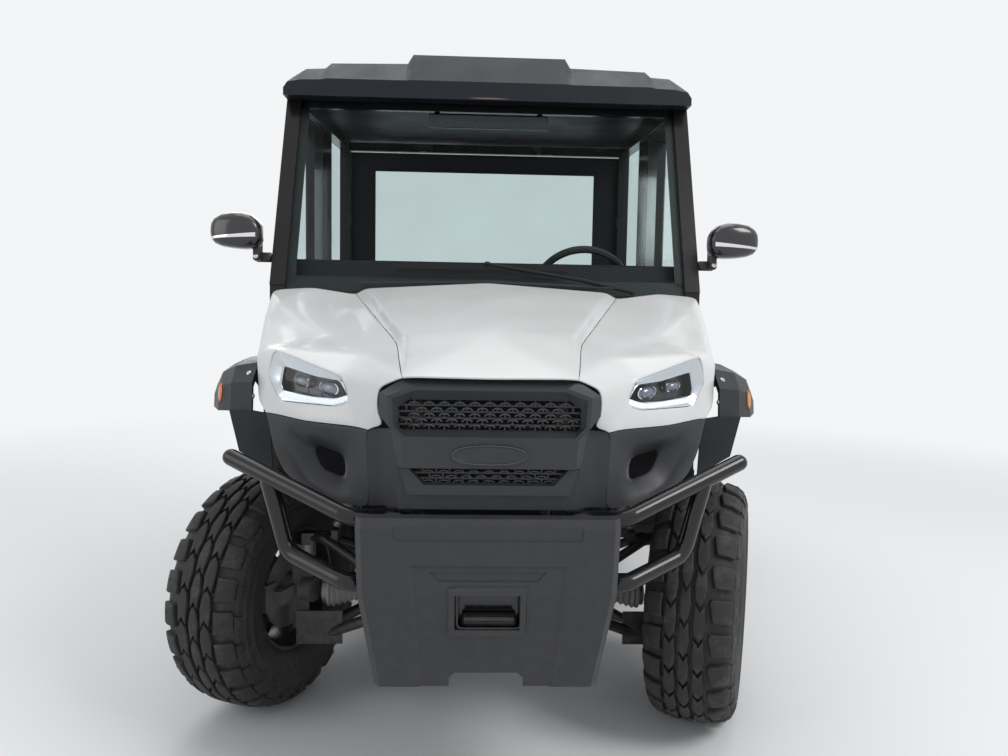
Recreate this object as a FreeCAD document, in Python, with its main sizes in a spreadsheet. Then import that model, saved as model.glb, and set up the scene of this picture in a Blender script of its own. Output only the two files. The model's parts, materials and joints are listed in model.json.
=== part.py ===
import FreeCAD, Part
import math
import os
import Sketcher

# A two-seat side by side utility vehicle with a glazed cab, a tilting cargo bed and steered front wheels.
# Millimetres and degrees, +Z up, the front of the vehicle towards -Y and its left side towards +X.
# The origin is on the ground, below the middle of the vehicle.
# Pieces ahead of the bed are drawn from the front axle, and those of the bed from the rear axle.
# In the tables, "back" is the distance behind that axle and "up" is the height above the ground.

SIZES = [
    # name, value, what it measures
    ("wheelbase", 2080, "front axle to rear axle"),
    ("front_overhang", 600, "front axle to the face of the bumper"),
    ("rear_overhang", 640, "rear axle to the face of the tailgate"),
    ("axle_up", 336, "wheel centres above the ground"),
    ("tyre_radius", 336, "tyre out to the tips of its lugs"),
    ("carcass_radius", 312, "tyre without its lugs"),
    ("tyre_half_width", 115, "half of the tyre's section width"),
    ("bead_radius", 172, "inside of the tyre"),
    ("rim_half_width", 92, "half of the rim over its lips"),
    ("lug_pitches", 14, "repeats of the tread round the tyre"),
    ("wheel_inset", 80, "outside of the cab in to the middle of a tyre"),
    ("kingpin_offset", 123, "kingpin to the middle of a front tyre"),
    ("rest_steer", -22, "front wheels as parked, turned to the vehicle's right"),
    ("ball_joint_up", 115, "wheel centre to the upper and lower ball joints"),
    ("hub_radius", 31, "pilot that centres a rim on its hub"),
    ("disc_radius", 115, "brake disc"),
    ("cab_half_width", 715, "middle of the vehicle to the outside of the doors and pillars"),
    ("pillar_width", 50, "square section of the cab's posts"),
    ("screen_foot_back", 380, "front axle to the foot of the windscreen"),
    ("screen_foot_up", 1225, "foot of the windscreen"),
    ("screen_top_back", 640, "front axle to the top of the windscreen"),
    ("screen_top_up", 1905, "top of the windscreen"),
    ("cab_gap", 40, "rear wall of the cab to the front wall of the bed"),
    ("roof_rise", 70, "how much higher the cab's top rail is at its rear"),
    ("roof_front_back", 560, "front axle to the front edge of the roof"),
    ("roof_tail", 60, "roof beyond the rear wall"),
    ("roof_crown", 151, "front header of the cab to the top of the roof's raised middle"),
    ("visor_reach", 95, "front edge of the roof to its full height"),
    ("glass_wall", 5, "window glass"),
    ("door_front_back", 436, "front axle to the front edge of a door"),
    ("door_rear_back", 1100, "front axle to the rear edge of a door"),
    ("door_wall", 35, "thickness of a door"),
    ("side_post", 184, "post behind a door from front to rear"),
    ("door_gap", 6, "gap round a door"),
    ("sill_up", 450, "top of the sill below a door"),
    ("belt_up", 1235, "lower edge of the side windows"),
    ("floor_up", 420, "top of the cab's floor"),
    ("arm_foot", 92, "axle to the inner joints of a lower arm"),
    ("rack_back", 152, "front axle to the steering rack"),
    ("rack_up", 330, "steering rack"),
    ("rack_case_half", 110, "half of the rack's housing"),
    ("rack_travel", 72, "end of the rack's housing to a tie rod's inner joint"),
    ("tie_rod_reach", 110, "kingpin to the ball joint of its steering arm"),
    ("column_rake", 32, "steering column above the horizontal"),
    ("wheel_back", 655, "front axle to the steering wheel"),
    ("wheel_up", 1235, "middle of the steering wheel"),
    ("wheel_out", 350, "middle of the vehicle to the middle of the steering wheel"),
    ("tower_up", 772, "top of the damper towers"),
    ("tower_out", 285, "middle of the vehicle to the top of a damper"),
    ("hinge_out", 9, "door hinge axis outside the door"),
    ("hinge_back", 433, "front axle to the door hinge axis"),
    ("pin_radius", 8, "pivot pin of the bed"),
    ("rail_out", 230, "middle of the vehicle to the middle of a main rail"),
    ("rail_width", 50, "main rail across"),
    ("rail_height", 60, "main rail from bottom to top"),
    ("rail_foot_up", 358, "underside of the main rails"),
    ("nose_reach", 560, "front axle to the face of the grille"),
    ("hood_front_up", 1001, "front edge of the hood"),
    ("hood_front_half", 178, "half of the hood's width at its front edge"),
    ("cowl_low_up", 886, "lower edge of the painted panels"),
    ("chin_up", 700, "lower edge of the side fascias and grille surround"),
    ("skin_wall", 6, "moulded body panels"),
    ("grille_half_width", 250, "half of the grille surround"),
    ("bumper_half_width", 286, "half of the bumper cover"),
    ("bumper_top_up", 701, "top of the bumper cover"),
    ("bumper_foot_up", 305, "underside of the bumper cover"),
    ("guard_radius", 20, "guard tube"),
    ("flare_proud", 18, "wheel flare out beyond the side of the cab"),
    ("bed_front", 290, "rear axle to the front wall of the bed, forward"),
    ("bed_inset", 15, "outside of the cab in to the side of the cargo bed"),
    ("bed_floor_up", 862, "underside of the bed's floor"),
    ("bed_depth", 300, "floor of the bed to its rim"),
    ("bed_wall", 26, "walls and floor of the bed"),
    ("tailgate_wall", 30, "tailgate"),
    ("bed_pivot_back", 500, "rear axle to the pivot of the bed"),
    ("bed_pivot_up", 730, "pivot of the bed"),
    ("seat_up", 800, "top of a seat cushion"),
    ("seat_rear_gap", 170, "rear wall of the cab to the rear of a seat cushion"),
    ("seat_out", 330, "middle of the vehicle to the middle of a seat"),
    ("seat_width", 500, "seat cushion across"),
    ("seat_depth", 500, "seat cushion from front to rear"),
    ("steering_radius", 183, "steering wheel"),
    ("lip_drop", 177, "top of the roof to its lower edge"),
    ("panel_recess", 4, "sunk middle panel of the bumper cover"),
    ("outrigger_back", 450, "front axle to the front outriggers of the frame"),
    ("seat_gap", 0.3, "gap where one piece rests on another"),
]

doc = FreeCAD.newDocument("utility_vehicle")
sheet = doc.addObject("Spreadsheet::Sheet", "Sizes")


class Size:
    """A dimension that carries its value and the sheet expression it comes from."""

    def __init__(self, value, text=None):
        self.value = float(value)
        self.text = text if text is not None else repr(float(value))

    def __add__(self, other):
        other = as_size(other)
        return Size(self.value + other.value, f"({self.text} + {other.text})")

    def __radd__(self, other):
        return as_size(other) + self

    def __sub__(self, other):
        other = as_size(other)
        return Size(self.value - other.value, f"({self.text} - {other.text})")

    def __rsub__(self, other):
        return as_size(other) - self

    def __mul__(self, other):
        other = as_size(other)
        return Size(self.value * other.value, f"({self.text} * {other.text})")

    def __rmul__(self, other):
        return as_size(other) * self

    def __truediv__(self, other):
        other = as_size(other)
        return Size(self.value / other.value, f"({self.text} / {other.text})")

    def __neg__(self):
        return Size(-self.value, f"(0 - {self.text})")

    def __float__(self):
        return self.value


def as_size(value):
    return value if isinstance(value, Size) else Size(value)


def cosine(angle):
    return Size(math.cos(math.radians(angle.value)), f"cos({angle.text})")


def sine(angle):
    return Size(math.sin(math.radians(angle.value)), f"sin({angle.text})")


class Sheet:
    """The driving dimensions, each as an attribute."""


s = Sheet()
for row, (name, value, meaning) in enumerate(SIZES, start=1):
    sheet.set(f"A{row}", meaning)
    sheet.set(f"B{row}", str(value))
    sheet.setAlias(f"B{row}", name)
    setattr(s, name, Size(value, f"Sizes.{name}"))
doc.recompute()

front_axle_y = -(s.wheelbase + s.rear_overhang - s.front_overhang) / 2
rear_axle_y = front_axle_y + s.wheelbase
SIDES = (("left", 1), ("right", -1))
nodes = []


def bind(item, path, size):
    item.setExpression(path, as_size(size).text)


def place(item, back=0, x=0, up=0, turn=None, axle=None):
    """Stands a finished sub-part at its axle, and lists it as a node."""
    base_y = (front_axle_y if axle is None else axle) + back
    x, up = as_size(x), as_size(up)
    angle = as_size(turn if turn is not None else 0)
    item.Placement = FreeCAD.Placement(
        FreeCAD.Vector(x.value, base_y.value, up.value),
        FreeCAD.Rotation(FreeCAD.Vector(0, 0, 1), angle.value))
    bind(item, ".Placement.Base.x", x)
    bind(item, ".Placement.Base.y", base_y)
    bind(item, ".Placement.Base.z", up)
    if turn is not None:
        bind(item, ".Placement.Rotation.Angle", angle)
    nodes.append(item)
    return item


def vec(x, back, up):
    return FreeCAD.Vector(float(x), float(back), float(up))


def span(side, low, high):
    """A stretch along X, or its mirror image on the other side."""
    return (as_size(low), as_size(high)) if side > 0 else (-as_size(high), -as_size(low))


def box(x, back, up):
    """A block between two places on each axis."""
    item = doc.addObject("Part::Box", "Block")
    corner = []
    for edge, path, (low, high) in zip(("Length", "Width", "Height"), "xyz", (x, back, up)):
        low, size = as_size(low), as_size(high) - as_size(low)
        setattr(item, edge, size.value)
        bind(item, edge, size)
        corner.append(low)
    item.Placement.Base = vec(*corner)
    for path, low in zip("xyz", corner):
        bind(item, f".Placement.Base.{path}", low)
    return item


def rod(start, end, radius):
    """A round bar between two places."""
    start, end = vec(*start), vec(*end)
    shape = Part.makeCylinder(float(radius), (end - start).Length, start, end - start)
    item = doc.addObject("Part::Feature", "Rod")
    item.Shape = shape
    return item


def beam(start, end, width, depth, across=FreeCAD.Vector(1, 0, 0)):
    """A rectangular bar between two places, its width along the given direction."""
    start, end = vec(*start), vec(*end)
    run = end - start
    side = across.normalize() * (float(width) / 2)
    other = run.cross(across).normalize() * (float(depth) / 2)
    corners = [start + side + other, start - side + other, start - side - other, start + side - other]
    face = Part.Face(Part.makePolygon(corners + corners[:1]))
    item = doc.addObject("Part::Feature", "Beam")
    item.Shape = face.extrude(run)
    return item


def bent_wire(points, bend):
    """Straight runs joined by tangent arcs of one radius."""
    points = [vec(*p) for p in points]
    edges = []
    last = points[0]
    for before, corner, after in zip(points, points[1:], points[2:]):
        to_before = (before - corner).normalize()
        to_after = (after - corner).normalize()
        half = to_before.getAngle(to_after) / 2
        shorter = min((before - corner).Length, (after - corner).Length)
        reach = min(float(bend) / math.tan(half), 0.45 * shorter)
        radius = reach * math.tan(half)
        entry = corner + to_before * reach
        leave = corner + to_after * reach
        inward = (to_before + to_after).normalize()
        middle = corner + inward * (radius / math.sin(half) - radius)
        edges.append(Part.LineSegment(last, entry).toShape())
        edges.append(Part.Arc(entry, middle, leave).toShape())
        last = leave
    edges.append(Part.LineSegment(last, points[-1]).toShape())
    return Part.Wire(edges)


def tube(points, radius, bend=60):
    """A bent round tube through the given corners."""
    path = bent_wire(points, bend)
    first = vec(*points[0])
    ring = Part.Wire(Part.makeCircle(float(radius), first, vec(*points[1]) - first))
    item = doc.addObject("Part::Feature", "Tube")
    item.Shape = path.makePipeShell([ring], True, False)
    return item


def fuse(label, pieces):
    item = doc.addObject("Part::MultiFuse", label)
    item.Label = label
    item.Shapes = pieces
    return item


def cut(label, base, tool):
    item = doc.addObject("Part::Cut", label)
    item.Label = label
    item.Base = base
    item.Tool = tool
    return item


def common(label, base, tool):
    item = doc.addObject("Part::Common", label)
    item.Label = label
    item.Base = base
    item.Tool = tool
    return item


def group(label, pieces):
    """Like pieces that don't touch, as one node."""
    item = doc.addObject("Part::Compound", label)
    item.Label = label
    item.Links = pieces
    return item


def new_body(label):
    item = doc.addObject("PartDesign::Body", label)
    item.Label = label
    return item


def origin_part(body, role):
    return next(o for o in body.Origin.OriginFeatures if o.Role == role)


def sketch(body, role, offset, loops=(), circles=()):
    """Closed outlines on an origin plane: every corner is held by two dimensions from the sheet."""
    item = body.newObject("Sketcher::SketchObject", "Outline")
    item.AttachmentSupport = [(origin_part(body, role), "")]
    item.MapMode = "FlatFace"
    offset = as_size(offset)
    item.AttachmentOffset = FreeCAD.Placement(FreeCAD.Vector(0, 0, offset.value), FreeCAD.Rotation())
    bind(item, ".AttachmentOffset.Base.z", offset)
    for loop in loops:
        loop = [(as_size(u), as_size(v)) for u, v in loop]
        first = item.GeometryCount
        count = len(loop)
        for k, (u, v) in enumerate(loop):
            u2, v2 = loop[(k + 1) % count]
            item.addGeometry(Part.LineSegment(
                FreeCAD.Vector(u.value, v.value, 0), FreeCAD.Vector(u2.value, v2.value, 0)), False)
        for k in range(count):
            item.addConstraint(Sketcher.Constraint(
                "Coincident", first + k, 2, first + (k + 1) % count, 1))
        for k, (u, v) in enumerate(loop):
            hold_point(item, first + k, 1, u, v)
    for u, v, radius in circles:
        u, v, radius = as_size(u), as_size(v), as_size(radius)
        ring = item.addGeometry(Part.Circle(
            FreeCAD.Vector(u.value, v.value, 0), FreeCAD.Vector(0, 0, 1), radius.value), False)
        hold_point(item, ring, 3, u, v)
        held = item.addConstraint(Sketcher.Constraint("Radius", ring, radius.value))
        bind(item, f"Constraints[{held}]", radius)
    return item


def hold_point(item, index, corner, u, v):
    for kind, size in (("DistanceX", u), ("DistanceY", v)):
        held = item.addConstraint(Sketcher.Constraint(kind, -1, 1, index, corner, size.value))
        if "Sizes." in size.text:
            bind(item, f"Constraints[{held}]", size)


def pad(body, outline, length, reverse=False):
    item = body.newObject("PartDesign::Pad", "Pad")
    item.Profile = outline
    item.Length = float(length)
    bind(item, "Length", length)
    item.Reversed = reverse
    outline.Visibility = False
    body.Tip = item
    return item


def pocket(body, outline, length, reverse=False):
    item = body.newObject("PartDesign::Pocket", "Pocket")
    item.Profile = outline
    item.Length = float(length)
    bind(item, "Length", length)
    item.Reversed = reverse
    body.Tip = item
    return item


def revolve(body, outline, role, kind="PartDesign::Revolution"):
    item = body.newObject(kind, "Turned")
    item.Profile = outline
    item.ReferenceAxis = (origin_part(body, role), [""])
    item.Angle = 360
    body.Tip = item
    return item


def polar(body, feature, role, count):
    item = body.newObject("PartDesign::PolarPattern", "Round")
    item.Originals = [feature]
    item.Axis = (origin_part(body, role), [""])
    item.Angle = 360
    item.Occurrences = int(round(float(count)))
    bind(item, "Occurrences", count)
    body.Tip = item
    return item


def loft(body, outlines, kind="PartDesign::AdditiveLoft"):
    item = body.newObject(kind, "Loft")
    item.Profile = outlines[0]
    item.Sections = outlines[1:]
    item.Ruled = True
    body.Tip = item
    return item


def mirrored_loop(half):
    """The whole outline from its +X half, listed from the middle and back to it."""
    return list(half) + [(-as_size(u), v) for u, v in reversed(half) if float(u) != 0]


# Places that several pieces share.
tyre_out = s.cab_half_width - s.wheel_inset
kingpin_out = tyre_out - s.kingpin_offset
flare_out = s.cab_half_width + s.flare_proud
bed_half_width = s.cab_half_width - s.bed_inset
cowl_back = s.screen_foot_back - 35
cab_rear = s.wheelbase - s.bed_front - s.cab_gap
seat_rear = cab_rear - s.seat_rear_gap
seat_front = seat_rear - s.seat_depth
side_post_rear = s.door_rear_back + s.door_gap + s.side_post
rail_low = s.rail_foot_up
rail_top = s.rail_foot_up + s.rail_height
rail_in = s.rail_out - s.rail_width / 2
rail_side = s.rail_out + s.rail_width / 2
post_in = s.cab_half_width - s.pillar_width
post_front = s.screen_foot_back
post_rear = s.screen_foot_back + s.pillar_width
sill_low = rail_top + s.seat_gap
frame_front = -(s.nose_reach - 60)
frame_rear = s.rear_overhang - 60
tail_beam_half = bed_half_width - 220
upright_out = s.rail_out - 55
lean = (s.screen_top_back - s.screen_foot_back) / (s.screen_top_up - s.screen_foot_up)
header_front_up = s.screen_top_up + 8
header_rear_up = header_front_up + s.roof_rise


def add_tyres_and_rims():
    """Four wheels: a lugged tyre on a dished rim, each turned from its section about the X axis."""
    w = s.tyre_half_width
    bead_out = s.rim_half_width - 6 - s.seat_gap
    body = new_body("tyre_master")
    section = mirrored_loop([
        (bead_out, s.bead_radius), (bead_out, s.bead_radius + 16), (w - 9, s.bead_radius + 26),
        (w, s.bead_radius + 62),
        (w - 2, s.carcass_radius - 37), (w - 17, s.carcass_radius - 10), (w - 55, s.carcass_radius)])
    turned = revolve(body, sketch(body, "XZ_Plane", 0, [section]), "X_Axis")
    turned.Label = "carcass"
    shoulder_in = w - 63
    shoulder_out = w + 5
    step = s.tyre_radius * 3.1416 / s.lug_pitches
    lugs = []
    for side, near in ((1, as_size(0)), (-1, step)):
        lugs.append([(side * shoulder_in, near - 14), (side * shoulder_out, near - 34),
                     (side * shoulder_out, near + 16), (side * shoulder_in, near + 34)])
        far = step - near
        lugs.append([(side * 5, far - 36), (side * 42, far - 22),
                     (side * 36, far + 24), (side * 3, far + 12)])
    lug_foot = s.carcass_radius - 46
    blocks = pad(body, sketch(body, "XY_Plane", lug_foot, lugs), s.tyre_radius + 4 - lug_foot)
    polar(body, blocks, "X_Axis", s.lug_pitches)
    top = s.tyre_radius
    trim = [(w - 48, top), (w + 1, top - 22), (w + 3, top - 74), (w + 20, top - 74), (w + 20, top + 30),
            (-w - 20, top + 30), (-w - 20, top - 74), (-w - 3, top - 74), (-w - 1, top - 22), (-w + 48, top)]
    revolve(body, sketch(body, "XZ_Plane", 0, [trim]), "X_Axis", "PartDesign::Groove")

    h = s.rim_half_width
    seat = s.bead_radius - s.seat_gap
    rim = new_body("rim_master")
    barrel = [(h, seat + 14), (h, seat - 6), (h - 60, seat - 22), (-h + 40, seat - 22), (-h, seat - 6),
              (-h, seat + 14), (-h + 6, seat + 14), (-h + 6, seat), (-h + 24, seat), (-h + 42, seat - 16),
              (h - 58, seat - 16), (h - 26, seat), (h - 6, seat), (h - 6, seat + 14)]
    revolve(rim, sketch(rim, "XZ_Plane", 0, [barrel]), "X_Axis")
    dish = [(30, s.hub_radius + s.seat_gap), (30, 78), (38, 120), (26, seat - 19), (34, seat - 19), (47, 122),
            (40, 76), (40, s.hub_radius + s.seat_gap)]
    revolve(rim, sketch(rim, "XZ_Plane", 0, [dish]), "X_Axis")
    window = sketch(rim, "YZ_Plane", 60, [[(-14, 88), (14, 88), (30, 136), (-30, 136)]])
    opening = pocket(rim, window, as_size(60))
    polar(rim, opening, "X_Axis", as_size(7))
    doc.recompute()

    reach = s.kingpin_offset * cosine(s.rest_steer)
    shift = s.kingpin_offset * sine(s.rest_steer)
    for side, sign in SIDES:
        out = (kingpin_out + reach) * sign
        back = shift * sign
        for kind, master in (("tyre", body), ("rim", rim)):
            front = group(f"{kind}_front_{side}", [turned_about(master, sign)])
            place(front, x=out, back=back, up=s.axle_up, turn=s.rest_steer)
            rear = group(f"{kind}_rear_{side}", [turned_about(master, sign)])
            place(rear, x=tyre_out * sign, up=s.axle_up, axle=rear_axle_y)


def turned_about(master, sign):
    """The piece itself, or its mirror image for the other side of the vehicle."""
    if sign > 0:
        return master
    item = doc.addObject("Part::Mirroring", "Mirrored")
    item.Source = master
    item.Normal = FreeCAD.Vector(1, 0, 0)
    return item


def add_knuckles():
    """Steered uprights: a yoke between its ball joint housings, the hub with its disc, and the caliper."""
    j = s.ball_joint_up
    hub_end = s.kingpin_offset + 30
    face = hub_end - s.seat_gap
    for side, sign in SIDES:

        def along(low, high):
            return span(sign, low, high)
        yoke = [
            upright_round(24, j - 14, j + 22),
            upright_round(24, 2 - j, 38 - j),
            box(along(0, 34), (-24, 24), (j - 14, j + 22)),
            box(along(0, 34), (-24, 24), (2 - j, 38 - j)),
            box(along(10, 34), (-24, 24), (2 - j, j + 22)),
            box(along(-14, 20), (20, s.tie_rod_reach + 16), (-30, -8)),
            box(along(20, 34), (-100, -20), (-20, 20)),
            box(along(30, 46), (-100, -58), (-20, 20)),
            turned(sign, -26, 12, 34),
        ]
        hub = [turned(sign, low, high, radius) for low, high, radius in (
            (34, face, 44), (face - 70, face, 52), (face - 12, face, 70), (face, hub_end + 28, s.hub_radius),
            (58, 64, s.disc_radius))]
        block = box(along(46, 82), (-132, -78), (-34, 40))
        slot = box(along(56, 66), (-126, -70), (-40, 46))
        pieces = [fuse("yoke", yoke), fuse("hub", hub), cut("caliper", block, slot)]
        place(group(f"knuckle_{side}", pieces), x=kingpin_out * sign, up=s.axle_up, turn=s.rest_steer)


def upright_round(radius, low, high):
    """A round bar on the vertical axis."""
    low, high = as_size(low), as_size(high)
    item = doc.addObject("Part::Cylinder", "Round")
    item.Radius = float(radius)
    item.Height = (high - low).value
    bind(item, "Height", high - low)
    item.Placement.Base = vec(0, 0, low)
    bind(item, ".Placement.Base.z", low)
    return item


def turned(sign, low, high, radius):
    """A round bar along X on the axle line."""
    low, high = as_size(low), as_size(high)
    item = doc.addObject("Part::Cylinder", "Round")
    radius = as_size(radius)
    item.Radius = radius.value
    item.Height = (high - low).value
    bind(item, "Radius", radius)
    bind(item, "Height", high - low)
    start = low if sign > 0 else -high
    item.Placement = FreeCAD.Placement(
        FreeCAD.Vector(start.value, 0, 0), FreeCAD.Rotation(FreeCAD.Vector(0, 1, 0), 90))
    bind(item, ".Placement.Base.x", start)
    return item


def bar_across(low, high, radius, back, up):
    """A round bar along X between two places."""
    item = turned(1, low, high, radius)
    bind(item, ".Placement.Base.y", back)
    bind(item, ".Placement.Base.z", up)
    item.Placement.Base = vec(low, back, up)
    return item


def post(foot, head, width):
    """A square post with level ends, which may lean."""
    foot, head = vec(*foot), vec(*head)
    half = float(width) / 2
    corners = [foot + FreeCAD.Vector(x * half, y * half, 0) for x, y in ((1, 1), (-1, 1), (-1, -1), (1, -1))]
    item = doc.addObject("Part::Feature", "Post")
    item.Shape = facet(corners).extrude(head - foot)
    return item


def add_frame():
    """Ladder frame, welded face to face: rails, uprights, damper towers, outriggers, bed pivots and hitch."""
    tail = s.wheelbase + frame_rear
    pivot = s.wheelbase + s.bed_pivot_back
    rest = s.wheelbase - 180
    plate_low = s.tower_up - 13
    pieces = []
    for sign in (1, -1):
        rail = span(sign, rail_in, rail_side)
        upright = span(sign, upright_out - 25, upright_out)
        pieces.append(box(rail, (frame_front, tail), (rail_low, rail_top)))
        pieces.append(box(upright, (frame_front, frame_front + 40), (rail_top - 10, s.hood_front_up - 60)))
        cover_in = s.skin_wall + s.panel_recess + s.seat_gap - s.front_overhang
        for low in (s.chin_up - 155, s.chin_up - 60):
            pieces.append(box(upright, (cover_in, frame_front), (low, low + 30)))
        for axle in (as_size(0), s.wheelbase):
            for step in (-1, 1):
                pieces.append(post((s.rail_out * sign, axle + 110 * step, rail_top),
                                   (s.tower_out * sign, axle + 54 * step, plate_low), 30))
                pieces.append(box(rail, (axle + s.arm_foot * step - 20, axle + s.arm_foot * step + 20),
                                  (rail_low - 80, rail_low)))
            pieces.append(box(span(sign, s.tower_out - 23, s.tower_out + 23), (axle - 70, axle + 70),
                              (plate_low, s.tower_up + 13)))
        for back in (s.outrigger_back, s.door_rear_back + 50, cab_rear - 50):
            pieces.append(box(span(sign, rail_side, s.cab_half_width - 20), (back - 25, back + 25),
                              (rail_top - 45, rail_top)))
        ear = span(sign, s.rail_out - 6, s.rail_out + 6)
        plate = box(ear, (pivot - 26, pivot + 26), (rail_top, s.bed_pivot_up + 26))
        pieces.append(cut("pivot_ear", plate, bar_across(ear[0] - 5, ear[1] + 5, s.pin_radius + 0.08, pivot,
                                                         s.bed_pivot_up)))
        pieces.append(box(span(sign, s.rail_out - 14, s.rail_out + 14), (rest - 14, rest + 14),
                          (rail_top, s.bed_floor_up - 46 - s.seat_gap)))
        pieces.append(box(span(sign, 32, tail_beam_half), (tail, tail + 30), (rail_top - 10, rail_top + 50)))
    front_unit = 75 + 30 + 20 + s.seat_gap
    rear_unit = 110 + 30 + 20 + s.seat_gap
    for back in (frame_front + 20, -front_unit, front_unit, s.outrigger_back - 120, s.outrigger_back + 450,
                 cab_rear - 150, s.wheelbase - rear_unit, s.wheelbase + rear_unit, tail - 25):
        pieces.append(box((-rail_in, rail_in), (back - 20, back + 20), (rail_low + 10, rail_top - 10)))
    for axle in (as_size(0), s.wheelbase):
        pieces.append(box((23 - s.tower_out, s.tower_out - 23), (axle - 18, axle + 18),
                          (s.tower_up - 10, s.tower_up + 10)))
    pieces.append(box((25 - upright_out, upright_out - 25), (frame_front + 5, frame_front + 35),
                      (s.chin_up - 230, s.chin_up - 200)))
    hitch = box((-32, 32), (tail - 5, tail + 60), (rail_low - 2, rail_low + 62))
    socket = box((-26, 26), (tail, tail + 65), (rail_low + 4, rail_low + 56))
    cross_pin = bar_across(-40, 40, s.pin_radius, tail + 35, rail_low + 30)
    pieces.append(cut("hitch", hitch, fuse("hitch_hollow", [socket, cross_pin])))
    place(group("frame", pieces))


def add_drive():
    """The battery, and the front and rear drive units with their half shafts and ribbed boots."""
    place(group("battery_pack", [box((-330, 330), (seat_front + 50, seat_rear - 20),
                                     (s.floor_up + 4 + s.seat_gap, s.seat_up - 160))]))
    out = kingpin_out - 48
    units = []
    for axle, length in ((as_size(0), 150), (s.wheelbase, 220)):
        half = length / 2
        units.append(fuse("casing", [
            box((-105, 105), (axle - half, axle + half), (s.axle_up - 75, s.axle_up + 62)),
            box((-75, 75), (axle - half - 30, axle + half + 30), (s.axle_up - 55, s.axle_up + 45))]))
        for sign in (1, -1):
            shaft = []
            for low, high, radius in (
                    (105, 150, 40), (150, out, 14), (out - 62, out - 48, 26), (out - 48, out - 34, 31),
                    (out - 34, out - 20, 36), (out - 20, out, 41)):
                piece = turned(sign, low, high, radius)
                bind(piece, ".Placement.Base.y", axle)
                bind(piece, ".Placement.Base.z", s.axle_up)
                shaft.append(piece)
            units.append(fuse("half_shaft", shaft))
    place(group("drive_units", units))


def add_arms():
    """Double wishbones with a guard plate, and plain rear hub carriers with their discs."""
    low_up = s.axle_up - s.ball_joint_up
    high_up = s.axle_up + s.ball_joint_up
    arms = []
    for back in (as_size(0), s.wheelbase):
        for sign in (1, -1):
            out = kingpin_out * sign
            foot = (rail_side + 16) * sign
            joint_out = out * 0.97
            lower = []
            for step in (-s.arm_foot, s.arm_foot):
                joint = (joint_out, back + step * 0.22, low_up - 24)
                lower.append(tube([(foot, back + step, as_size(300)), joint], 16))
            lower.append(box(span(sign, kingpin_out - 26, kingpin_out + 24), (back - 26, back + 26),
                             (low_up - 30, low_up + 2 - s.seat_gap)))
            for step in (-s.arm_foot, s.arm_foot):
                lower.append(box(span(sign, rail_side + s.seat_gap, rail_side + 32),
                                 (back + step - 20, back + step + 20), (280, 320)))
            upper = [tube([(foot, back + step, as_size(392)), (out * 0.9, back + step * 0.25, high_up + 40),
                           (out, back, high_up + 40)], 13, 30) for step in (-95, 95)]
            upper.append(box(span(sign, kingpin_out - 24, kingpin_out + 12), (back - 20, back + 20),
                             (high_up + 22 + s.seat_gap, high_up + 54)))
            upper.append(box(span(sign, kingpin_out - 92, kingpin_out - 74), (back - 30, back + 30),
                             (high_up + 24, high_up + 66)))
            for step in (-95, 95):
                upper.append(box(span(sign, rail_side + s.seat_gap, rail_side + 30),
                                 (back + step - 20, back + step + 20), (372, 409)))
            if float(back) == 0:
                lower.append(box(span(sign, kingpin_out - 110, kingpin_out + 20), (-54, -48),
                                 (low_up - 26, low_up + 70)))
            arms.append(fuse("lower_arm", lower))
            arms.append(fuse("upper_arm", upper))
    carriers = []
    for sign in (1, -1):
        face = tyre_out + 30 - s.seat_gap
        disc_out = tyre_out - 65
        rounds = [(kingpin_out - 16, face - 60, 44), (face - 70, face, 52), (face - 12, face, 70),
                  (face, face + 28, s.hub_radius), (disc_out, disc_out + 6, s.disc_radius)]
        shapes = []
        for low, high, radius in rounds:
            piece = turned(sign, low, high, radius)
            bind(piece, ".Placement.Base.y", s.wheelbase)
            bind(piece, ".Placement.Base.z", s.axle_up)
            shapes.append(piece)
        shapes.append(box(span(sign, kingpin_out - 22, kingpin_out + 22),
                          (s.wheelbase - 24, s.wheelbase + 24), (low_up + 2, high_up + 22)))
        carriers.append(fuse("hub_carrier", shapes))
    place(group("suspension_arms", arms + carriers))


def add_dampers():
    """Four coil-over dampers between the upper arms and the towers, each turned from its section."""
    foot_up = s.axle_up + s.ball_joint_up + 72.6 + s.seat_gap
    foot_out = kingpin_out - 83
    head_up = s.tower_up - 19 - s.seat_gap
    coils = 8
    dampers = []
    for axle in (as_size(0), s.wheelbase):
        for sign in (1, -1):
            low = vec(foot_out * sign, axle, foot_up)
            run = vec(s.tower_out * sign, axle, head_up) - low
            length = run.Length
            rows = [(0, 0), (12, 0), (12, 0.10), (36, 0.10), (36, 0.14)]
            for coil in range(coils):
                share = 0.14 + 0.76 * coil / coils
                rows += [(26, share), (36.5, share + 0.38 / coils)]
            rows += [(26, 0.90), (36, 0.90), (36, 0.93), (11, 0.93), (11, 1), (0, 1)]
            body = new_body("damper")
            section = [(radius, share * length) for radius, share in rows]
            revolve(body, sketch(body, "XZ_Plane", 0, [section]), "Z_Axis")
            body.Placement = FreeCAD.Placement(low, FreeCAD.Rotation(FreeCAD.Vector(0, 0, 1), run))
            dampers.append(body)
    place(group("dampers", dampers))


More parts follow.
